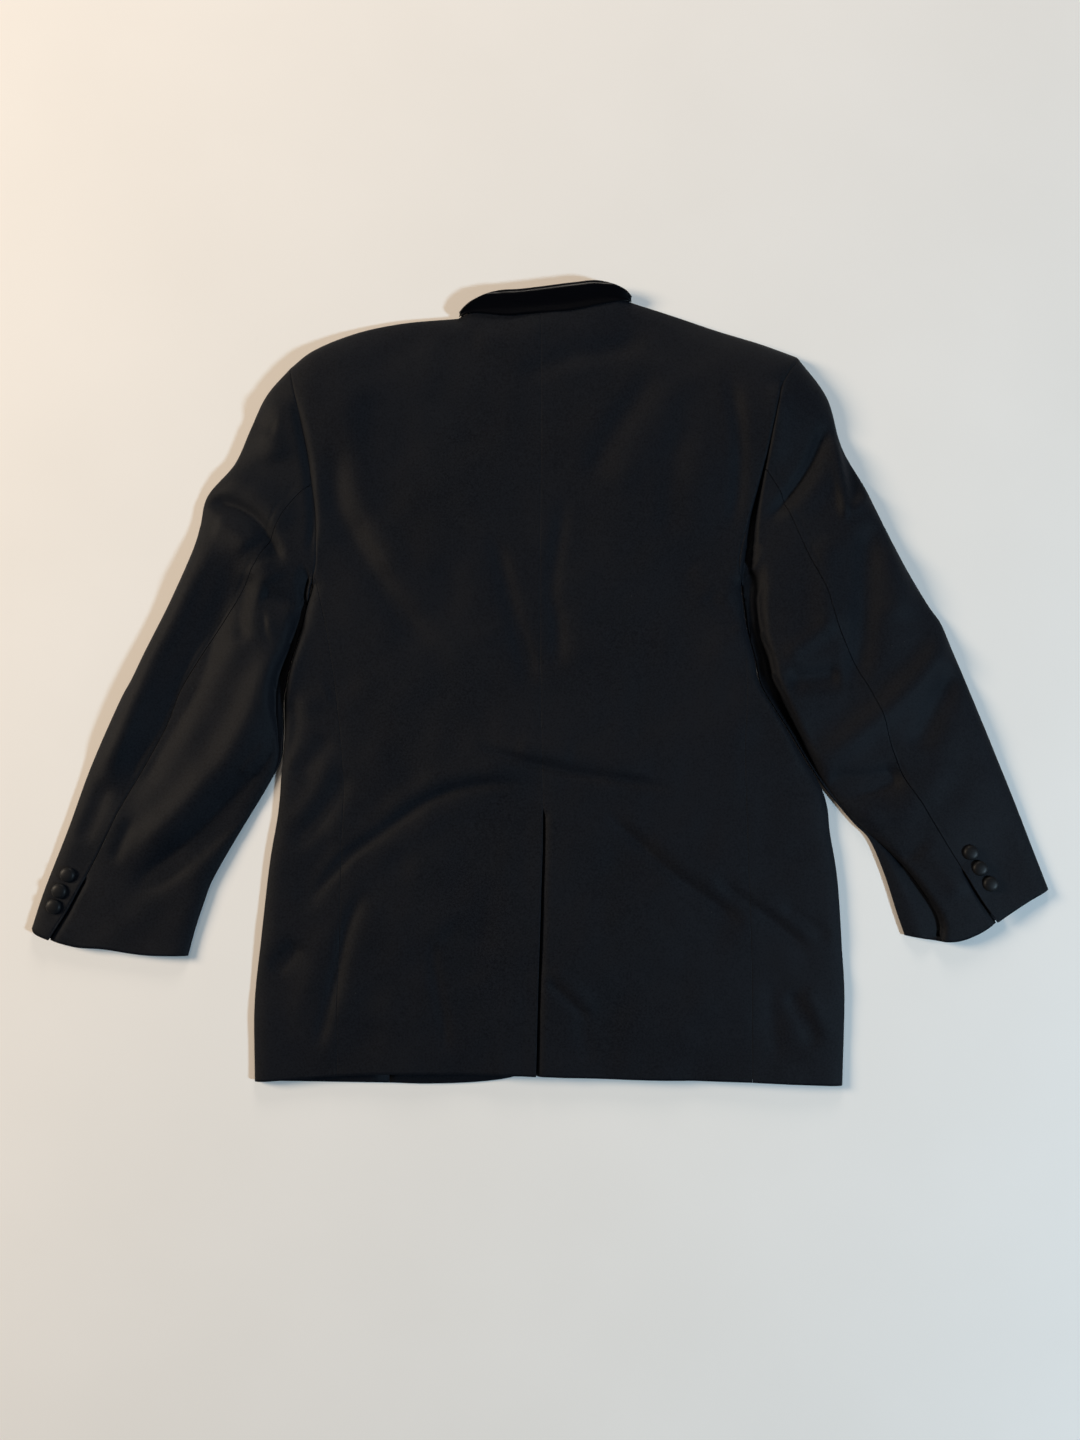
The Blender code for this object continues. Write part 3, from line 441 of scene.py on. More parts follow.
def nearest(points, line, reach=None):
    """Distance from each point to the line, and the share of the line's length where that is."""
    away = np.full(len(points), 1e6)
    along = np.zeros(len(points))
    near = np.ones(len(points), bool)
    if reach is not None:
        low, high = line.min(0) - reach, line.max(0) + reach
        near = ((points > low) & (points < high)).all(1)
    chosen = np.flatnonzero(near)
    start = line[:-1]
    span = line[1:] - start
    run = lengths(line)
    for part in np.array_split(chosen, max(1, len(chosen) // 4000)):
        offset = points[part][:, None, :] - start
        share = np.clip((offset * span).sum(-1) / (span * span).sum(-1), 0, 1)
        gap = np.linalg.norm(offset - share[..., None] * span, axis=-1)
        best = gap.argmin(1)
        row = np.arange(len(part))
        away[part] = gap[row, best]
        along[part] = (run[best] + share[row, best] * (run[best + 1] - run[best])) / run[-1]
    return away, along


def smooth(value):
    held = np.clip(value, 0, 1)
    return held * held * (3 - 2 * held)


def quarter(value):
    """A quarter of a round, 0 to 1."""
    return np.sqrt(1 - (1 - np.clip(value, 0, 1)) ** 2)


EDGES = [curve(side[name]) for side in (LEFT, RIGHT) for name in ("edge", "shoulder")]
EDGES += [curve(side["sleeve"])[:, 0:2] for side in (LEFT, RIGHT)]
INNER_EDGES = [curve(side["sleeve"])[:, 2:4] for side in (LEFT, RIGHT)]
LAPELS = [(curve(side["lapel roll"]) + curve(side["lapel edge"])) / 2 for side in (LEFT, RIGHT)]


def lift(plan):
    """How far the lapels hold the lower layer off the surface."""
    away = np.min([nearest(plan, line, LAPEL_REACH + LAPEL_FADE)[0] for line in LAPELS], axis=0)
    return LAPEL_LIFT * smooth(1 - (away - LAPEL_REACH) / LAPEL_FADE)


def creases(plan):
    rise = np.zeros(len(plan))
    for _, line, half_width, height in FOLDS:
        away, along = nearest(plan, curve(line, 4), FOLD_REACH * half_width)
        fade = smooth(np.minimum(along, 1 - along) / FOLD_FADE + FOLD_END)
        rise += height * fade * np.exp(-((away / half_width) ** 2))
    return rise


def waves(count, shortest, longest, seed):
    """Random gentle waves: direction, wavelength and phase of each."""
    draw = np.random.default_rng(seed)
    length = np.exp(draw.uniform(math.log(shortest), math.log(longest), count))
    turn = draw.uniform(0, math.pi, count)
    return np.cos(turn) / length, np.sin(turn) / length, draw.uniform(0, 2 * math.pi, count), length


UNEVEN = waves(WAVES, *WAVE_LENGTHS, WAVE_SEED)


def unevenness(plan):
    """The slight waviness of pressed cloth that has been worn and laid down."""
    rise = np.zeros(len(plan))
    for along_x, along_y, phase, length in zip(*UNEVEN):
        rise += length * np.sin(2 * math.pi * (plan[:, 0] * along_x + plan[:, 1] * along_y) + phase)
    return rise * WAVE_RISE


def seam_lines():
    lines = [("centre", curve(CENTRE))]
    for side in (LEFT, RIGHT):
        lines.append(("side seam", curve(side["side seam"])))
        lines.append(("armhole", curve(side["armhole"])))
        table = curve(side["sleeve"], 12)
        share = table[:, 5:6]
        lines.append(("elbow", table[:, 0:2] * (1 - share) + table[:, 2:4] * share))
    return lines


SEAMS = seam_lines()


def sewing(plan):
    """The groove along each seam, its pressed allowances and its puckers."""
    rise = np.zeros(len(plan))
    for kind, line in SEAMS:
        away, along = nearest(plan, line, SEWING_REACH)
        run = along * lengths(line)[-1]
        groove = np.exp(-((away / SEAM_HALF) ** 2))
        allowance = np.exp(-(((away - ALLOWANCE_AT) / ALLOWANCE_HALF) ** 2))
        pucker = np.sin(run / 2.1 + 2.2 * np.sin(run / 17.0)) * np.exp(-((away / PUCKER_REACH) ** 2))
        rise += -SEAM_DEPTH[kind] * groove + ALLOWANCE_RISE * allowance + PUCKER * pucker
    return rise


def crevice(plan):
    """How far the cloth sinks into the crevice, which widens to the armpit."""
    table = curve(CREVICE)
    away, along = nearest(plan, table[:, :2], CREVICE_REACH)
    run = lengths(table) / lengths(table)[-1]
    half = np.interp(along, run, table[:, 2])
    depth = np.interp(along, run, table[:, 3])
    return -depth * np.exp(-((away / half) ** 4))


def swell(plan, x, y, reach_x, reach_y):
    """1 at x, y, and less and less away from it."""
    return np.exp(-(((plan[:, 0] - x) / reach_x) ** 2) - ((plan[:, 1] - y) / reach_y) ** 2)


def loft(plan, shelf=0.0, fine=True):
    """Height of the upper layer's middle surface over points in plan.

    The shelf is how far a sleeve's inner edge lies low before the cloth banks up from it.
    """
    shape = np.asarray(plan).shape[:-1]
    flat = np.asarray(plan, float).reshape(-1, 2)
    shelf = np.broadcast_to(shelf, shape).reshape(-1)
    height = np.full(len(flat), HEM_LOFT)
    for _, x, y, reach_x, reach_y, rise in LOFTS:
        height += rise * swell(flat, x, y, reach_x, reach_y)
    height = np.maximum(height + creases(flat), LEAST_LOFT)
    if fine:
        height = height + unevenness(flat) + sewing(flat)
    height = np.maximum(height + crevice(flat), LEAST_CREVICE)
    rounding = ROUNDING + ROUNDING_PER_LOFT * height
    for x, y, reach_x, reach_y, steeper in STEEP_EDGES:
        rounding *= 1 - steeper * swell(flat, x, y, reach_x, reach_y)
    inner = np.min([nearest(flat, line, LONGEST_ROUNDING)[0] for line in INNER_EDGES], axis=0)
    outer = np.min([nearest(flat, line, LONGEST_ROUNDING)[0] for line in EDGES], axis=0)
    beyond = np.clip(inner / np.maximum(shelf, 1.0), 0, 1)
    ridge = smooth(shelf / SHELF_RISE_FULL) * smooth(inner / SHELF_RISE_SLOPE)
    ridge *= SHELF_RISE * (1 - smooth((beyond - SHELF_TOP[0]) / SHELF_TOP[1]))
    sink = SHELF_SINK * smooth(shelf / SHELF_SINK_FULL) * smooth(inner / SHELF_SINK_SLOPE)
    foot = EDGE_RISE + lift(flat) + ridge - sink
    bank = (inner - shelf) / (rounding * (1 - SHELF_STEEPER * smooth(shelf / SHELF_STEEPER_FULL)))
    return (foot + (height - foot) * quarter(np.minimum(outer / rounding, bank))).reshape(shape)


def upper(plan, shelf=0.0):
    return np.concatenate([plan, loft(plan, shelf)[..., None]], axis=-1)


def lower(plan, rise=0.0):
    """Points of the layer that lies on the surface, or on what is under it."""
    height = (LYING + lift(plan.reshape(-1, 2))).reshape(plan.shape[:-1]) + rise
    return np.concatenate([plan, height[..., None]], axis=-1)


def blend(bottom, top, left, right, across, up):
    """A grid in plan between four lines whose points are given at the shares across and up."""
    u = np.asarray(across)[None, :, None]
    v = np.asarray(up)[:, None, None]
    sides = (1 - u) * left[:, None] + u * right[:, None]
    ends = (1 - v) * bottom[None] + v * top[None]
    corners = (1 - v) * ((1 - u) * bottom[0] + u * bottom[-1]) + v * ((1 - u) * top[0] + u * top[-1])
    return sides + ends - corners


def steps(length):
    """Shares of a line of this length, one cell apart."""
    return np.linspace(0, 1, max(2, math.ceil(length / CELL)) + 1)


# What is built: name, then the piece, its node, its width and length when flat, and its area
PIECES = {}


def cloth(name, grids, node, wall=WALL):
    """A thin shell around grids of points, which share the points where they meet."""
    points, faces, start, area = [], [], 0, 0.0
    for grid in grids:
        rows, columns = grid.shape[:2]
        index = start + np.arange(rows * columns).reshape(rows, columns)
        corners = [index[:-1, :-1], index[:-1, 1:], index[1:, 1:], index[1:, :-1]]
        faces.append(np.stack(corners, -1).reshape(-1, 4))
        points.append(grid.reshape(-1, 3))
        start += rows * columns
        one = np.cross(grid[:-1, 1:] - grid[:-1, :-1], grid[1:, :-1] - grid[:-1, :-1])
        area += np.linalg.norm(one, axis=-1).sum()
    points = np.vstack(points) - (MIDDLE_X, MIDDLE_Y, 0)
    mesh = bpy.data.meshes.new(name)
    mesh.from_pydata((points * MM).tolist(), [], np.vstack(faces).tolist())
    mesh.update()
    piece = bpy.data.objects.new(name, mesh)
    bpy.context.collection.objects.link(piece)
    weld = piece.modifiers.new("weld", "WELD")
    weld.merge_threshold = 0.00001
    thick = piece.modifiers.new("wall", "SOLIDIFY")
    thick.thickness = wall * MM
    thick.offset = 0
    mesh.shade_smooth()
    main = grids[0]
    width = np.linalg.norm(np.diff(main, axis=1), axis=-1).sum(1).max()
    length = np.linalg.norm(np.diff(main, axis=0), axis=-1).sum(0).max()
    PIECES[name] = (piece, node, width * MM, length * MM, area * MM * MM)


def sleeve_shares(width, seam, shelf, slant):
    """Shares across a sleeve section of its columns: top sleeve over and under, then under sleeve."""
    edge = np.array(EDGE_UPPER) / width * min(1.0, seam * width / NARROW)
    beside = BESIDE_SEAM / width
    gap = SEAM_GAP / width
    top_over = np.concatenate([edge, np.linspace(edge[-1], seam - beside, 26)[1:], [seam - gap]])
    foot = max(shelf, 2.0)
    bank = foot + np.array(SHELF_BANK)
    level = np.linspace(SHELF_FOOT[-1], bank[0], 5)[1:-1]
    edge = np.concatenate([SHELF_FOOT, level, bank]) * slant / width
    middle = np.linspace(seam + beside, 1 - edge[-1], 28)[:-1]
    under_over = np.concatenate([[seam + gap], middle, 1 - edge[::-1]])
    turn = np.array([distance for distance, _ in EDGE_LOWER]) / width
    hidden = 1 - HIDDEN_SEAM / width
    top_under = np.concatenate([turn, np.linspace(turn[-1], hidden, 9)[1:]])
    under_under = np.concatenate([1 - turn, np.linspace(1 - turn[-1], hidden, 4)[1:]])
    return top_over, under_over, top_under, under_under


def sleeve_plan(side, row, position, shares):
    """Points in plan across a sleeve at a share of the way from armhole to cuff."""
    sections = np.array(side["sleeve"], float)
    first, last = sections[0], sections[-1]
    shares = np.asarray(shares)[:, None]
    straight, chord, end = ((1 - shares) * line[0:2] + shares * line[2:4] for line in (row, first, last))
    at_armhole = walk(curve(side["armhole"]), shares[:, 0]) - chord
    at_cuff = walk(curve(side["cuff"]), shares[:, 0]) - end
    return straight + at_armhole * (1 - position) ** 3 + at_cuff * position**4


def sleeve(label, side):
    """Top sleeve, which wraps the outer edge, and under sleeve, which wraps the inner one."""
    fine = curve(side["sleeve"], 24)
    middle = (fine[:, 0:2] + fine[:, 2:4]) / 2
    length = lengths(middle)[-1]
    near = np.array(BESIDE_ARMHOLE)
    even = np.linspace(near[-1], length, math.ceil((length - near[-1]) / CELL))
    positions = np.concatenate([near, even[1:]]) / length
    table = walk(np.hstack([middle, fine]), positions)[:, 2:]
    inner_way = np.gradient(table[:, 2:4], axis=0)
    plans = {"top over": [], "top under": [], "under over": [], "under under": []}
    beside = {"top over": [], "under over": []}
    for row, position, way in zip(table, positions, inner_way):
        section = row[2:4] - row[0:2]
        width = np.linalg.norm(section)
        straight = abs(section[0] * way[1] - section[1] * way[0]) / (width * np.linalg.norm(way))
        slant = min(1 / straight, MOST_SLANT)
        for key, shares in zip(("top over", "under over", "top under", "under under"),
                               sleeve_shares(width, row[5], max(row[4], 0.0), slant)):
            plans[key].append(sleeve_plan(side, row, position, shares))
            if key in beside:
                beside[key].append(np.abs(shares - row[5]) * width)
    shelves = np.maximum(table[:, 4:5], 0.0)
    rises = np.array([rise for _, rise in EDGE_LOWER])
    grids = {}
    for key, plan in plans.items():
        if key in beside:
            grids[key] = upper(np.array(plan), shelves)
        else:
            grids[key] = lower(np.array(plan))
            grids[key][:, :len(rises), 2] += rises
    vent_share = smooth((positions * length - length + CUFF_VENT) / CUFF_VENT_OPENS)[:, None]
    flap = smooth(1 - np.array(beside["top over"]) / FLAP_SLOPE)
    grids["top over"][..., 2] += FLAP_RISE * vent_share * flap
    slope = np.interp(positions * length, (length - CUFF_VENT, length), CUFF_GROOVE_SLOPE)[:, None]
    sunk = CUFF_GROOVE * vent_share * smooth(1 - np.array(beside["under over"]) / slope)
    grids["under over"][..., 2] -= sunk
    top = np.hstack([grids["top over"][:, ::-1], grids["top under"]])
    under = np.hstack([grids["under over"], grids["under under"]])
    cloth("top_sleeve_cloth_" + label, [top], "top_sleeve_" + label)
    cloth("under_sleeve_cloth_" + label, [under], "under_sleeve_" + label)


def back_rows(side):
    """Points up the back's outer line: the side seam, then the armhole to the shoulder's edge."""
    armhole = curve(side["armhole"])
    width = lengths(armhole)[-1]
    meets = 1 - ARMHOLE_FOOT / width
    seam = curve(side["side seam"] + tuple(walk(armhole, [meets])))
    below = walk(seam, steps(lengths(seam)[-1]))
    near = np.array(EDGE_UPPER) / width
    shares = np.concatenate([near, np.linspace(near[-1], meets, 64)[1:-1]])
    return below, walk(armhole, shares[::-1])


def back(label, side):
    below, above = back_rows(side)
    outer_line = np.vstack([below, above])
    up = lengths(outer_line) / lengths(outer_line)[-1]
    centre_line = walk(curve(CENTRE), up)
    fine = np.array(BESIDE_BACK)
    along_shoulder = np.concatenate([fine, np.linspace(fine[-1], SHOULDER_SPAN, 50)[1:]]) / SHOULDER_SPAN
    from_centre = np.concatenate([fine, np.linspace(fine[-1], NECK_SPAN, 22)[1:]])
    along_neck = 1 - from_centre[::-1] / NECK_SPAN
    share = SHOULDER_SPAN / (SHOULDER_SPAN + NECK_SPAN)
    across = np.concatenate([along_shoulder * share, share + (1 - share) * along_neck[1:]])
    hem = walk(curve(side["hem"]), across)
    shoulder = walk(curve(side["shoulder"]), along_shoulder)
    neck = walk(curve(side["neck"]), along_neck)
    plan = blend(hem, np.vstack([shoulder, neck[1:]]), outer_line, centre_line, across, up)
    grid = upper(plan)
    columns = len(along_shoulder)
    down = grid[-8, :columns, :2] - grid[-1, :columns, :2]
    down /= np.linalg.norm(down, axis=-1, keepdims=True)
    turn = [grid[-1, :columns]]
    for distance, rise in EDGE_LOWER:
        row = lower(grid[-1, :columns, :2] + down * distance)
        row[:, 2] += rise
        turn.append(row)
    main = vent(grid) if side is RIGHT else [vent_edge(grid)]
    cloth("back_cloth_" + label, main + [np.array(turn)], "back_" + label)
    return turn[-1]


def vent(grid):
    """Sinks the right back under the left below the vent's top, and adds the lap that lies there."""
    depth = smooth((VENT_TOP + VENT_OPENS[0] - grid[:, -1, 1]) / VENT_OPENS[1])[:, None]
    sunk = grid.copy()
    away = np.abs(sunk[..., 0] - sunk[:, -1:, 0])
    sunk[..., 2] -= (LAYER_STEP + LAYER_GAP) * smooth(1 - away / VENT_SLOPE) * depth
    sunk[..., 2] -= VENT_GROOVE * np.exp(-((away / VENT_GROOVE_HALF) ** 2)) * depth
    rows = sunk[grid[:, -1, 1] < VENT_TOP]
    lap = [rows[:, -1]]
    for reach in np.linspace(0, VENT_LAP, 13)[1:]:
        strip = upper(rows[:, -1, :2] - (reach, 0))
        groove = VENT_GROOVE * math.exp(-((reach / VENT_GROOVE_LAP) ** 2))
        strip[:, 2] -= LAYER_STEP + LAYER_GAP + groove
        lap.append(strip)
    return [sunk, np.array(lap).transpose(1, 0, 2)]


def vent_edge(grid):
    """The left back's free edge, which stands a little proud and wanders below the vent's top."""
    run = grid[:, -1, 1]
    depth = smooth((VENT_TOP - run) / VENT_EDGE_FADE)
    raised = grid.copy()
    near = smooth(1 - np.abs(raised[..., 0] - raised[:, -1:, 0]) / VENT_EDGE_SLOPE)
    wander = VENT_EDGE + VENT_EDGE_WANDER * np.sin(run / VENT_EDGE_WAVE)
    raised[..., 2] += near * (depth * wander)[:, None]
    return raised


def hidden_rows(side):
    below, _ = back_rows(side)
    return walk(curve(side["hidden seam"]), lengths(below) / lengths(below)[-1])


def side_body(label, side):
    """The side body, from the back's seam over the folded edge to the hidden seam below."""
    below, _ = back_rows(side)
    edge = walk(curve(side["edge"]), lengths(below) / lengths(below)[-1])
    over, under = [], []
    for seam, nose, inner in zip(below, edge, hidden_rows(side)):
        width = np.linalg.norm(nose - seam)
        near = np.array(EDGE_UPPER) * min(1.0, width / NARROW) / width
        middle = np.linspace(BESIDE_SEAM / width, 1 - near[-1], 26)[:-1]
        shares = np.concatenate([[SEAM_GAP / width], middle, 1 - near[::-1]])[:, None]
        over.append((1 - shares) * seam + shares * nose)
        reach = np.linalg.norm(inner - nose)
        turn = [min(distance / reach, TURN_SHARE * order)
                for order, (distance, _) in enumerate(EDGE_LOWER, 1)]
        shares = np.concatenate([turn, np.linspace(turn[-1], 1, 8)[1:]])[:, None]
        under.append((1 - shares) * nose + shares * inner)
    under = lower(np.array(under))
    under[:, :len(EDGE_LOWER), 2] += [rise for _, rise in EDGE_LOWER]
    cloth("side_cloth_" + label, [np.hstack([upper(np.array(over)), under])], "side_" + label)


def front(label, side, shoulder):
    """A front, flat under the back, from the hidden seam to its own edge and the lapel's fold."""
    below = hidden_rows(side)[::3]
    armhole = curve(side["armhole"])
    meets = nearest(below[-1:], armhole)[1][0]
    above = walk(armhole, np.linspace(meets - FRONT_START, FRONT_END / lengths(armhole)[-1], 30))
    outer_line = np.vstack([below, above])
    up = lengths(outer_line) / lengths(outer_line)[-1]
    across = np.linspace(0, 1, 25)
    edge = walk(curve(side["front edge"]), up)
    hem = walk(curve(side["front hem"]), across)
    head = walk(shoulder[:, :2], across)
    plan = blend(hem, head, outer_line, edge, across, up)
    overlap = 0.0
    if side is RIGHT:
        overlap = FRONT_LAP_RISE
        for axis in (0, 1):
            overlap = overlap * smooth((FRONT_LAP[axis] - plan[..., axis]) / FRONT_LAP_FADE[axis])
    cloth("front_cloth_" + label, [lower(plan, overlap)], "front_" + label)


def lapel(label, side):
    up = np.linspace(0, 1, 60)
    fold = walk(curve(side["lapel roll"]), up)
    edge = walk(curve(side["lapel edge"]), up)
    across = np.linspace(0, 1, 14)[None, :, None]
    plan = (1 - across) * fold[:, None] + across * edge[:, None]
    grid = np.concatenate([plan, np.full(plan.shape[:-1] + (1,), LAPEL_WALL / 2)], axis=-1)
    cloth("lapel_cloth_" + label, [grid], "lapel_" + label, LAPEL_WALL)


def collar():
    """The collar: its stand from the neck seam to the fold, and the leaf back over the jacket."""
    shares = np.linspace(*COLLAR_ENDS, 130)
    neck = walk(curve(COLLAR_NECK), shares)
    fold = walk(curve(COLLAR_ROLL), shares)
    leaf = walk(curve(COLLAR_LEAF), shares)
    base = loft(neck, fine=False)
    rows = []
    for start, turn, end, ground in zip(neck, fold, leaf, base):
        stand = min(1.0, np.linalg.norm(turn - start) / COLLAR_STAND_REACH)
        rise = COLLAR_STAND * max(stand, COLLAR_STAND_LEAST)
        profile = curve(COLLAR_PROFILE, 5)
        row = [np.append(start + (turn - start) * along, ground + rise * height)
               for along, height in profile]
        crown = ground + rise * COLLAR_CROWN
        along = np.concatenate([COLLAR_TURN, np.linspace(0.44, 1, 10)])
        places = turn + (end - turn) * along[:, None]
        lying = loft(places, fine=False) + LAYER_STEP + LAYER_GAP
        fallen = smooth((along - COLLAR_FALL[0]) / COLLAR_FALL[1])
        height = np.maximum(lying, crown - (crown - lying) * fallen)
        left, right = COLLAR_ROLLED
        rolled = smooth((turn[0] - left) / COLLAR_FADE) * smooth((right - turn[0]) / COLLAR_FADE)
        reach = COLLAR_ROUNDING[0] + COLLAR_ROUNDING[1] * rolled
        drop = COLLAR_DROP[0] + COLLAR_DROP[1] * rolled
        height -= drop * (1 - quarter(along * np.linalg.norm(end - turn) / reach))
        row += list(np.column_stack([places, height]))
        rows.append(np.array(row))
    cloth("collar_cloth", [np.array(rows)], "collar", COLLAR_WALL)


def button(name, node, x, y):
    """A covered button: satin over a domed mould, gathered to a short shank."""
    surface = loft(np.array([[x, y]]))[0] + WALL / 2 + BUTTON_LIFT
    profile = curve(BUTTON_PROFILE, 4)
    turns = np.linspace(0, 2 * math.pi, BUTTON_AROUND, endpoint=False)
    points = [(x + r * math.cos(a), y + r * math.sin(a), surface + z) for r, z in profile for a in turns]
    points = np.array(points) - (MIDDLE_X, MIDDLE_Y, 0)
    faces = []
    rings, around = len(profile), len(turns)
    for i in range(rings - 1):
        for j in range(around):
            k = (j + 1) % around
            faces.append((i * around + j, i * around + k, (i + 1) * around + k, (i + 1) * around + j))
    faces.append(tuple(range(around))[::-1])
    faces.append(tuple(range((rings - 1) * around, rings * around)))
    mesh = bpy.data.meshes.new(name)
    mesh.from_pydata((points * MM).tolist(), [], faces)
    mesh.shade_smooth()
    piece = bpy.data.objects.new(name, mesh)
    bpy.context.collection.objects.link(piece)
    # The buttons' satin carries painted sheen in its lighter colour
    piece.data.materials.append(BUTTON_SATIN_PAINTED_SHEEN)
    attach(piece, "root")
    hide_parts(node)


def nodes_of(name):
    material = bpy.data.materials.new(name)
    material.use_nodes = True
    tree = material.node_tree
    return material, tree, tree.nodes["Principled BSDF"]


def weave(tree, place, turn):
    """Two crossed sets of threads: returns a socket that rises over each thread."""
    mapping = tree.nodes.new("ShaderNodeMapping")
    mapping.inputs["Rotation"].default_value = (0, 0, turn)
    tree.links.new(place.outputs["Object"], mapping.inputs["Vector"])
    threads = []
    for direction in ("X", "Y"):
        wave = tree.nodes.new("ShaderNodeTexWave")
        wave.bands_direction = direction
        wave.inputs["Scale"].default_value = THREADS
        wave.inputs["Distortion"].default_value = 0.6
        wave.inputs["Detail Scale"].default_value = 2.0
        tree.links.new(mapping.outputs["Vector"], wave.inputs["Vector"])
        threads.append(wave)
    total = tree.nodes.new("ShaderNodeMath")
    total.operation = "ADD"
    tree.links.new(threads[0].outputs["Fac"], total.inputs[0])
    tree.links.new(threads[1].outputs["Fac"], total.inputs[1])
    return total.outputs[0]


def wool(name, turn):
    """Fine worsted: near black with a faint bloom, a tight weave and a little lint."""
    material, tree, shader = nodes_of(name)
    place = tree.nodes.new("ShaderNodeTexCoord")
    threads = weave(tree, place, turn)
    cloudy = tree.nodes.new("ShaderNodeTexNoise")
    cloudy.inputs["Scale"].default_value = 9.0
    cloudy.inputs["Detail"].default_value = 6.0
    tree.links.new(place.outputs["Object"], cloudy.inputs["Vector"])
    grain = tree.nodes.new("ShaderNodeTexNoise")
    grain.inputs["Scale"].default_value = 560.0
    grain.inputs["Detail"].default_value = 1.0
    tree.links.new(place.outputs["Object"], grain.inputs["Vector"])
    both = tree.nodes.new("ShaderNodeMath")
    both.operation = "MULTIPLY_ADD"
    both.inputs[1].default_value = 2.2
    tree.links.new(grain.outputs["Fac"], both.inputs[0])
    tree.links.new(cloudy.outputs["Fac"], both.inputs[2])
    ramp = tree.nodes.new("ShaderNodeMapRange")
    ramp.data_type = "FLOAT_VECTOR"
    # The vector sockets share their names with the plain ones: from least, from most, to least, to most
    for socket, value in ((7, (0.86,) * 3), (8, (1.86,) * 3), (9, WOOL_DARK), (10, WOOL_LIGHT)):
        ramp.inputs[socket].default_value = value
    tree.links.new(both.outputs[0], ramp.inputs["Vector"])
    lint = tree.nodes.new("ShaderNodeTexVoronoi")
    lint.inputs["Scale"].default_value = 28.0
    tree.links.new(place.outputs["Object"], lint.inputs["Vector"])
    speck = tree.nodes.new("ShaderNodeMapRange")
    speck.inputs["From Min"].default_value = 0.0
    speck.inputs["From Max"].default_value = 0.02
    speck.inputs["To Min"].default_value = 0.5
    speck.inputs["To Max"].default_value = 0.0
    tree.links.new(lint.outputs["Distance"], speck.inputs["Value"])
    mix = tree.nodes.new("ShaderNodeMix")
    mix.data_type = "RGBA"
    mix.inputs["B"].default_value = (0.06, 0.06, 0.06, 1)
    tree.links.new(speck.outputs["Result"], mix.inputs["Factor"])
    tree.links.new(ramp.outputs["Vector"], mix.inputs["A"])
    tree.links.new(mix.outputs["Result"], shader.inputs["Base Color"])
    shader.inputs["Roughness"].default_value = 0.56
    shader.inputs["Specular IOR Level"].default_value = 0.06
    shader.inputs["Sheen Weight"].default_value = 0.006
    shader.inputs["Sheen Roughness"].default_value = 0.4
    shader.inputs["Sheen Tint"].default_value = (0.80, 0.88, 1.0, 1)
    bump = tree.nodes.new("ShaderNodeBump")
    bump.inputs["Strength"].default_value = 0.35
    bump.inputs["Distance"].default_value = 0.0002
    tree.links.new(threads, bump.inputs["Height"])
    tree.links.new(bump.outputs["Normal"], shader.inputs["Normal"])
    return material


def satin(name, dark, light, smoothest, roughest):
    """Black satin: deep, smooth and lustrous along the weft."""
    material, tree, shader = nodes_of(name)
    place = tree.nodes.new("ShaderNodeTexCoord")
    mapping = tree.nodes.new("ShaderNodeMapping")
    mapping.inputs["Scale"].default_value = (60, 900, 60)
    tree.links.new(place.outputs["Object"], mapping.inputs["Vector"])
    streak = tree.nodes.new("ShaderNodeTexNoise")
    streak.inputs["Scale"].default_value = 1.0
    streak.inputs["Detail"].default_value = 4.0
    tree.links.new(mapping.outputs["Vector"], streak.inputs["Vector"])
    ramp = tree.nodes.new("ShaderNodeValToRGB")
    ramp.color_ramp.elements[0].color = dark + (1,)
    ramp.color_ramp.elements[1].color = light + (1,)
    tree.links.new(streak.outputs["Fac"], ramp.inputs["Fac"])
    tree.links.new(ramp.outputs["Color"], shader.inputs["Base Color"])
    rough = tree.nodes.new("ShaderNodeMapRange")
    rough.inputs["To Min"].default_value = smoothest
    rough.inputs["To Max"].default_value = roughest
    tree.links.new(streak.outputs["Fac"], rough.inputs["Value"])
    tree.links.new(rough.outputs["Result"], shader.inputs["Roughness"])
    shader.inputs["Specular IOR Level"].default_value = 0.13
    bump = tree.nodes.new("ShaderNodeBump")
    bump.inputs["Strength"].default_value = 0.15
    bump.inputs["Distance"].default_value = 0.0001
    tree.links.new(streak.outputs["Fac"], bump.inputs["Height"])
    tree.links.new(bump.outputs["Normal"], shader.inputs["Normal"])
    return material


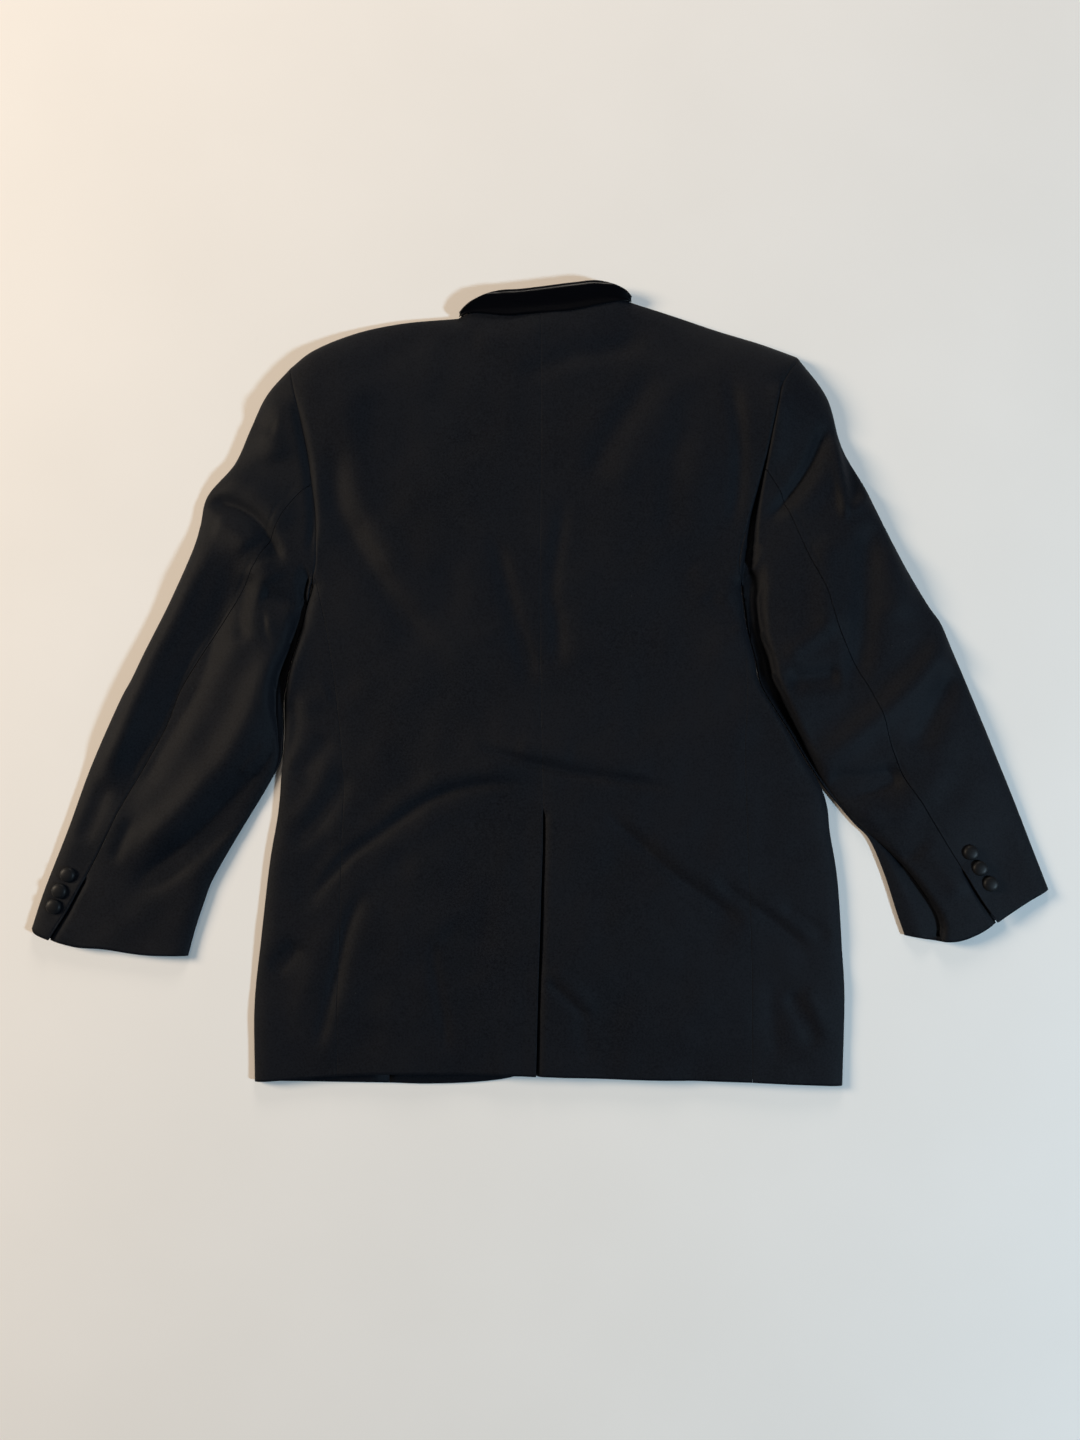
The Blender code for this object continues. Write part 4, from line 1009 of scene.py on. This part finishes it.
def stage():
    """A plain pale floor, cool light from the right and warm light from the left."""
    mesh = bpy.data.meshes.new("floor")
    mesh.from_pydata([(-6, -6, 0), (6, -6, 0), (6, 6, 0), (-6, 6, 0)], [], [(0, 1, 2, 3)])
    floor = bpy.data.objects.new("floor", mesh)
    bpy.context.collection.objects.link(floor)
    floor.location.z = -0.0002
    material, tree, shader = nodes_of("floor")
    place = tree.nodes.new("ShaderNodeTexCoord")
    grain = tree.nodes.new("ShaderNodeTexNoise")
    grain.inputs["Scale"].default_value = 5.0
    grain.inputs["Detail"].default_value = 8.0
    tree.links.new(place.outputs["Object"], grain.inputs["Vector"])
    ramp = tree.nodes.new("ShaderNodeValToRGB")
    ramp.color_ramp.elements[0].color = (0.825, 0.790, 0.768, 1)
    ramp.color_ramp.elements[1].color = (0.885, 0.850, 0.834, 1)
    tree.links.new(grain.outputs["Fac"], ramp.inputs["Fac"])
    tree.links.new(ramp.outputs["Color"], shader.inputs["Base Color"])
    shader.inputs["Roughness"].default_value = 0.95
    shader.inputs["Specular IOR Level"].default_value = 0.1
    mesh.materials.append(material)
    world = bpy.data.worlds.new("studio")
    world.use_nodes = True
    world.node_tree.nodes["Background"].inputs["Color"].default_value = (1.0, 0.88, 0.72, 1)
    world.node_tree.nodes["Background"].inputs["Strength"].default_value = 0.05
    bpy.context.scene.world = world
    lamps = (
        # name, position, size, power, colour
        ("window", (2.6, -1.1, 1.95), 0.4, 84.0, (0.58, 0.82, 1.0)),
        ("room lamp", (-3.2, 0.8, 1.6), 1.2, 142.0, (1.0, 0.83, 0.63)),
        ("far wall", (0.1, 2.4, 0.9), 0.8, 20.0, (1.0, 0.92, 0.82)),
    )
    for name, position, size, power, colour in lamps:
        lamp = bpy.data.lights.new(name, "AREA")
        lamp.shape = "DISK"
        lamp.size = size
        lamp.energy = power
        lamp.color = colour
        holder = bpy.data.objects.new(name, lamp)
        holder.location = position
        holder.rotation_euler = (-Vector(position)).to_track_quat("-Z", "Y").to_euler()
        bpy.context.collection.objects.link(holder)


def camera():
    data = bpy.data.cameras.new("camera")
    data.lens = LENS
    data.sensor_width = SENSOR
    holder = bpy.data.objects.new("camera", data)
    look = np.array(CAMERA_LOOK) - (MIDDLE_X, MIDDLE_Y, 0)
    back_off = np.array((0, -math.sin(CAMERA_TILT), math.cos(CAMERA_TILT))) * CAMERA_AWAY
    holder.location = Vector((look + back_off) * MM)
    holder.rotation_euler = (CAMERA_TILT, 0, 0)
    bpy.context.collection.objects.link(holder)
    bpy.context.scene.camera = holder


def declare():
    """Says what each piece of cloth is, replaces and rests on."""
    for name, (piece, node, width, length, area) in PIECES.items():
        is_satin = "collar" in name or "lapel" in name
        way = name.rsplit("_", 1)[-1] if "sleeve" in name else "body"
        piece.data.materials.append(SATIN if is_satin else WOOLS[way])
        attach(piece, "root")
        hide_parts(node)


bpy.context.scene.view_settings.view_transform = "Standard"
camera()
stage()
SATIN = satin("satin", *SATIN_LOOK)
# Same satin as the collar, made lighter as painted sheen on the buttons
BUTTON_SATIN_PAINTED_SHEEN = satin("button_satin", *BUTTON_PAINTED_SHEEN_LOOK)
WOOLS = {
    "body": wool("wool", 0.0),
    "left": wool("wool_sleeve_left", SLEEVE_GRAIN),
    "right": wool("wool_sleeve_right", -SLEEVE_GRAIN),
}
for label, side in (("left", LEFT), ("right", RIGHT)):
    shoulder = back(label, side)
    side_body(label, side)
    front(label, side, shoulder)
    lapel(label, side)
    sleeve(label, side)
    for number, (x, y) in enumerate(BUTTONS[label], 1):
        name = f"cuff_button_{label}_{number}"
        button(name.replace("cuff_button", "covered_button"), name, x, y)
collar()
declare()
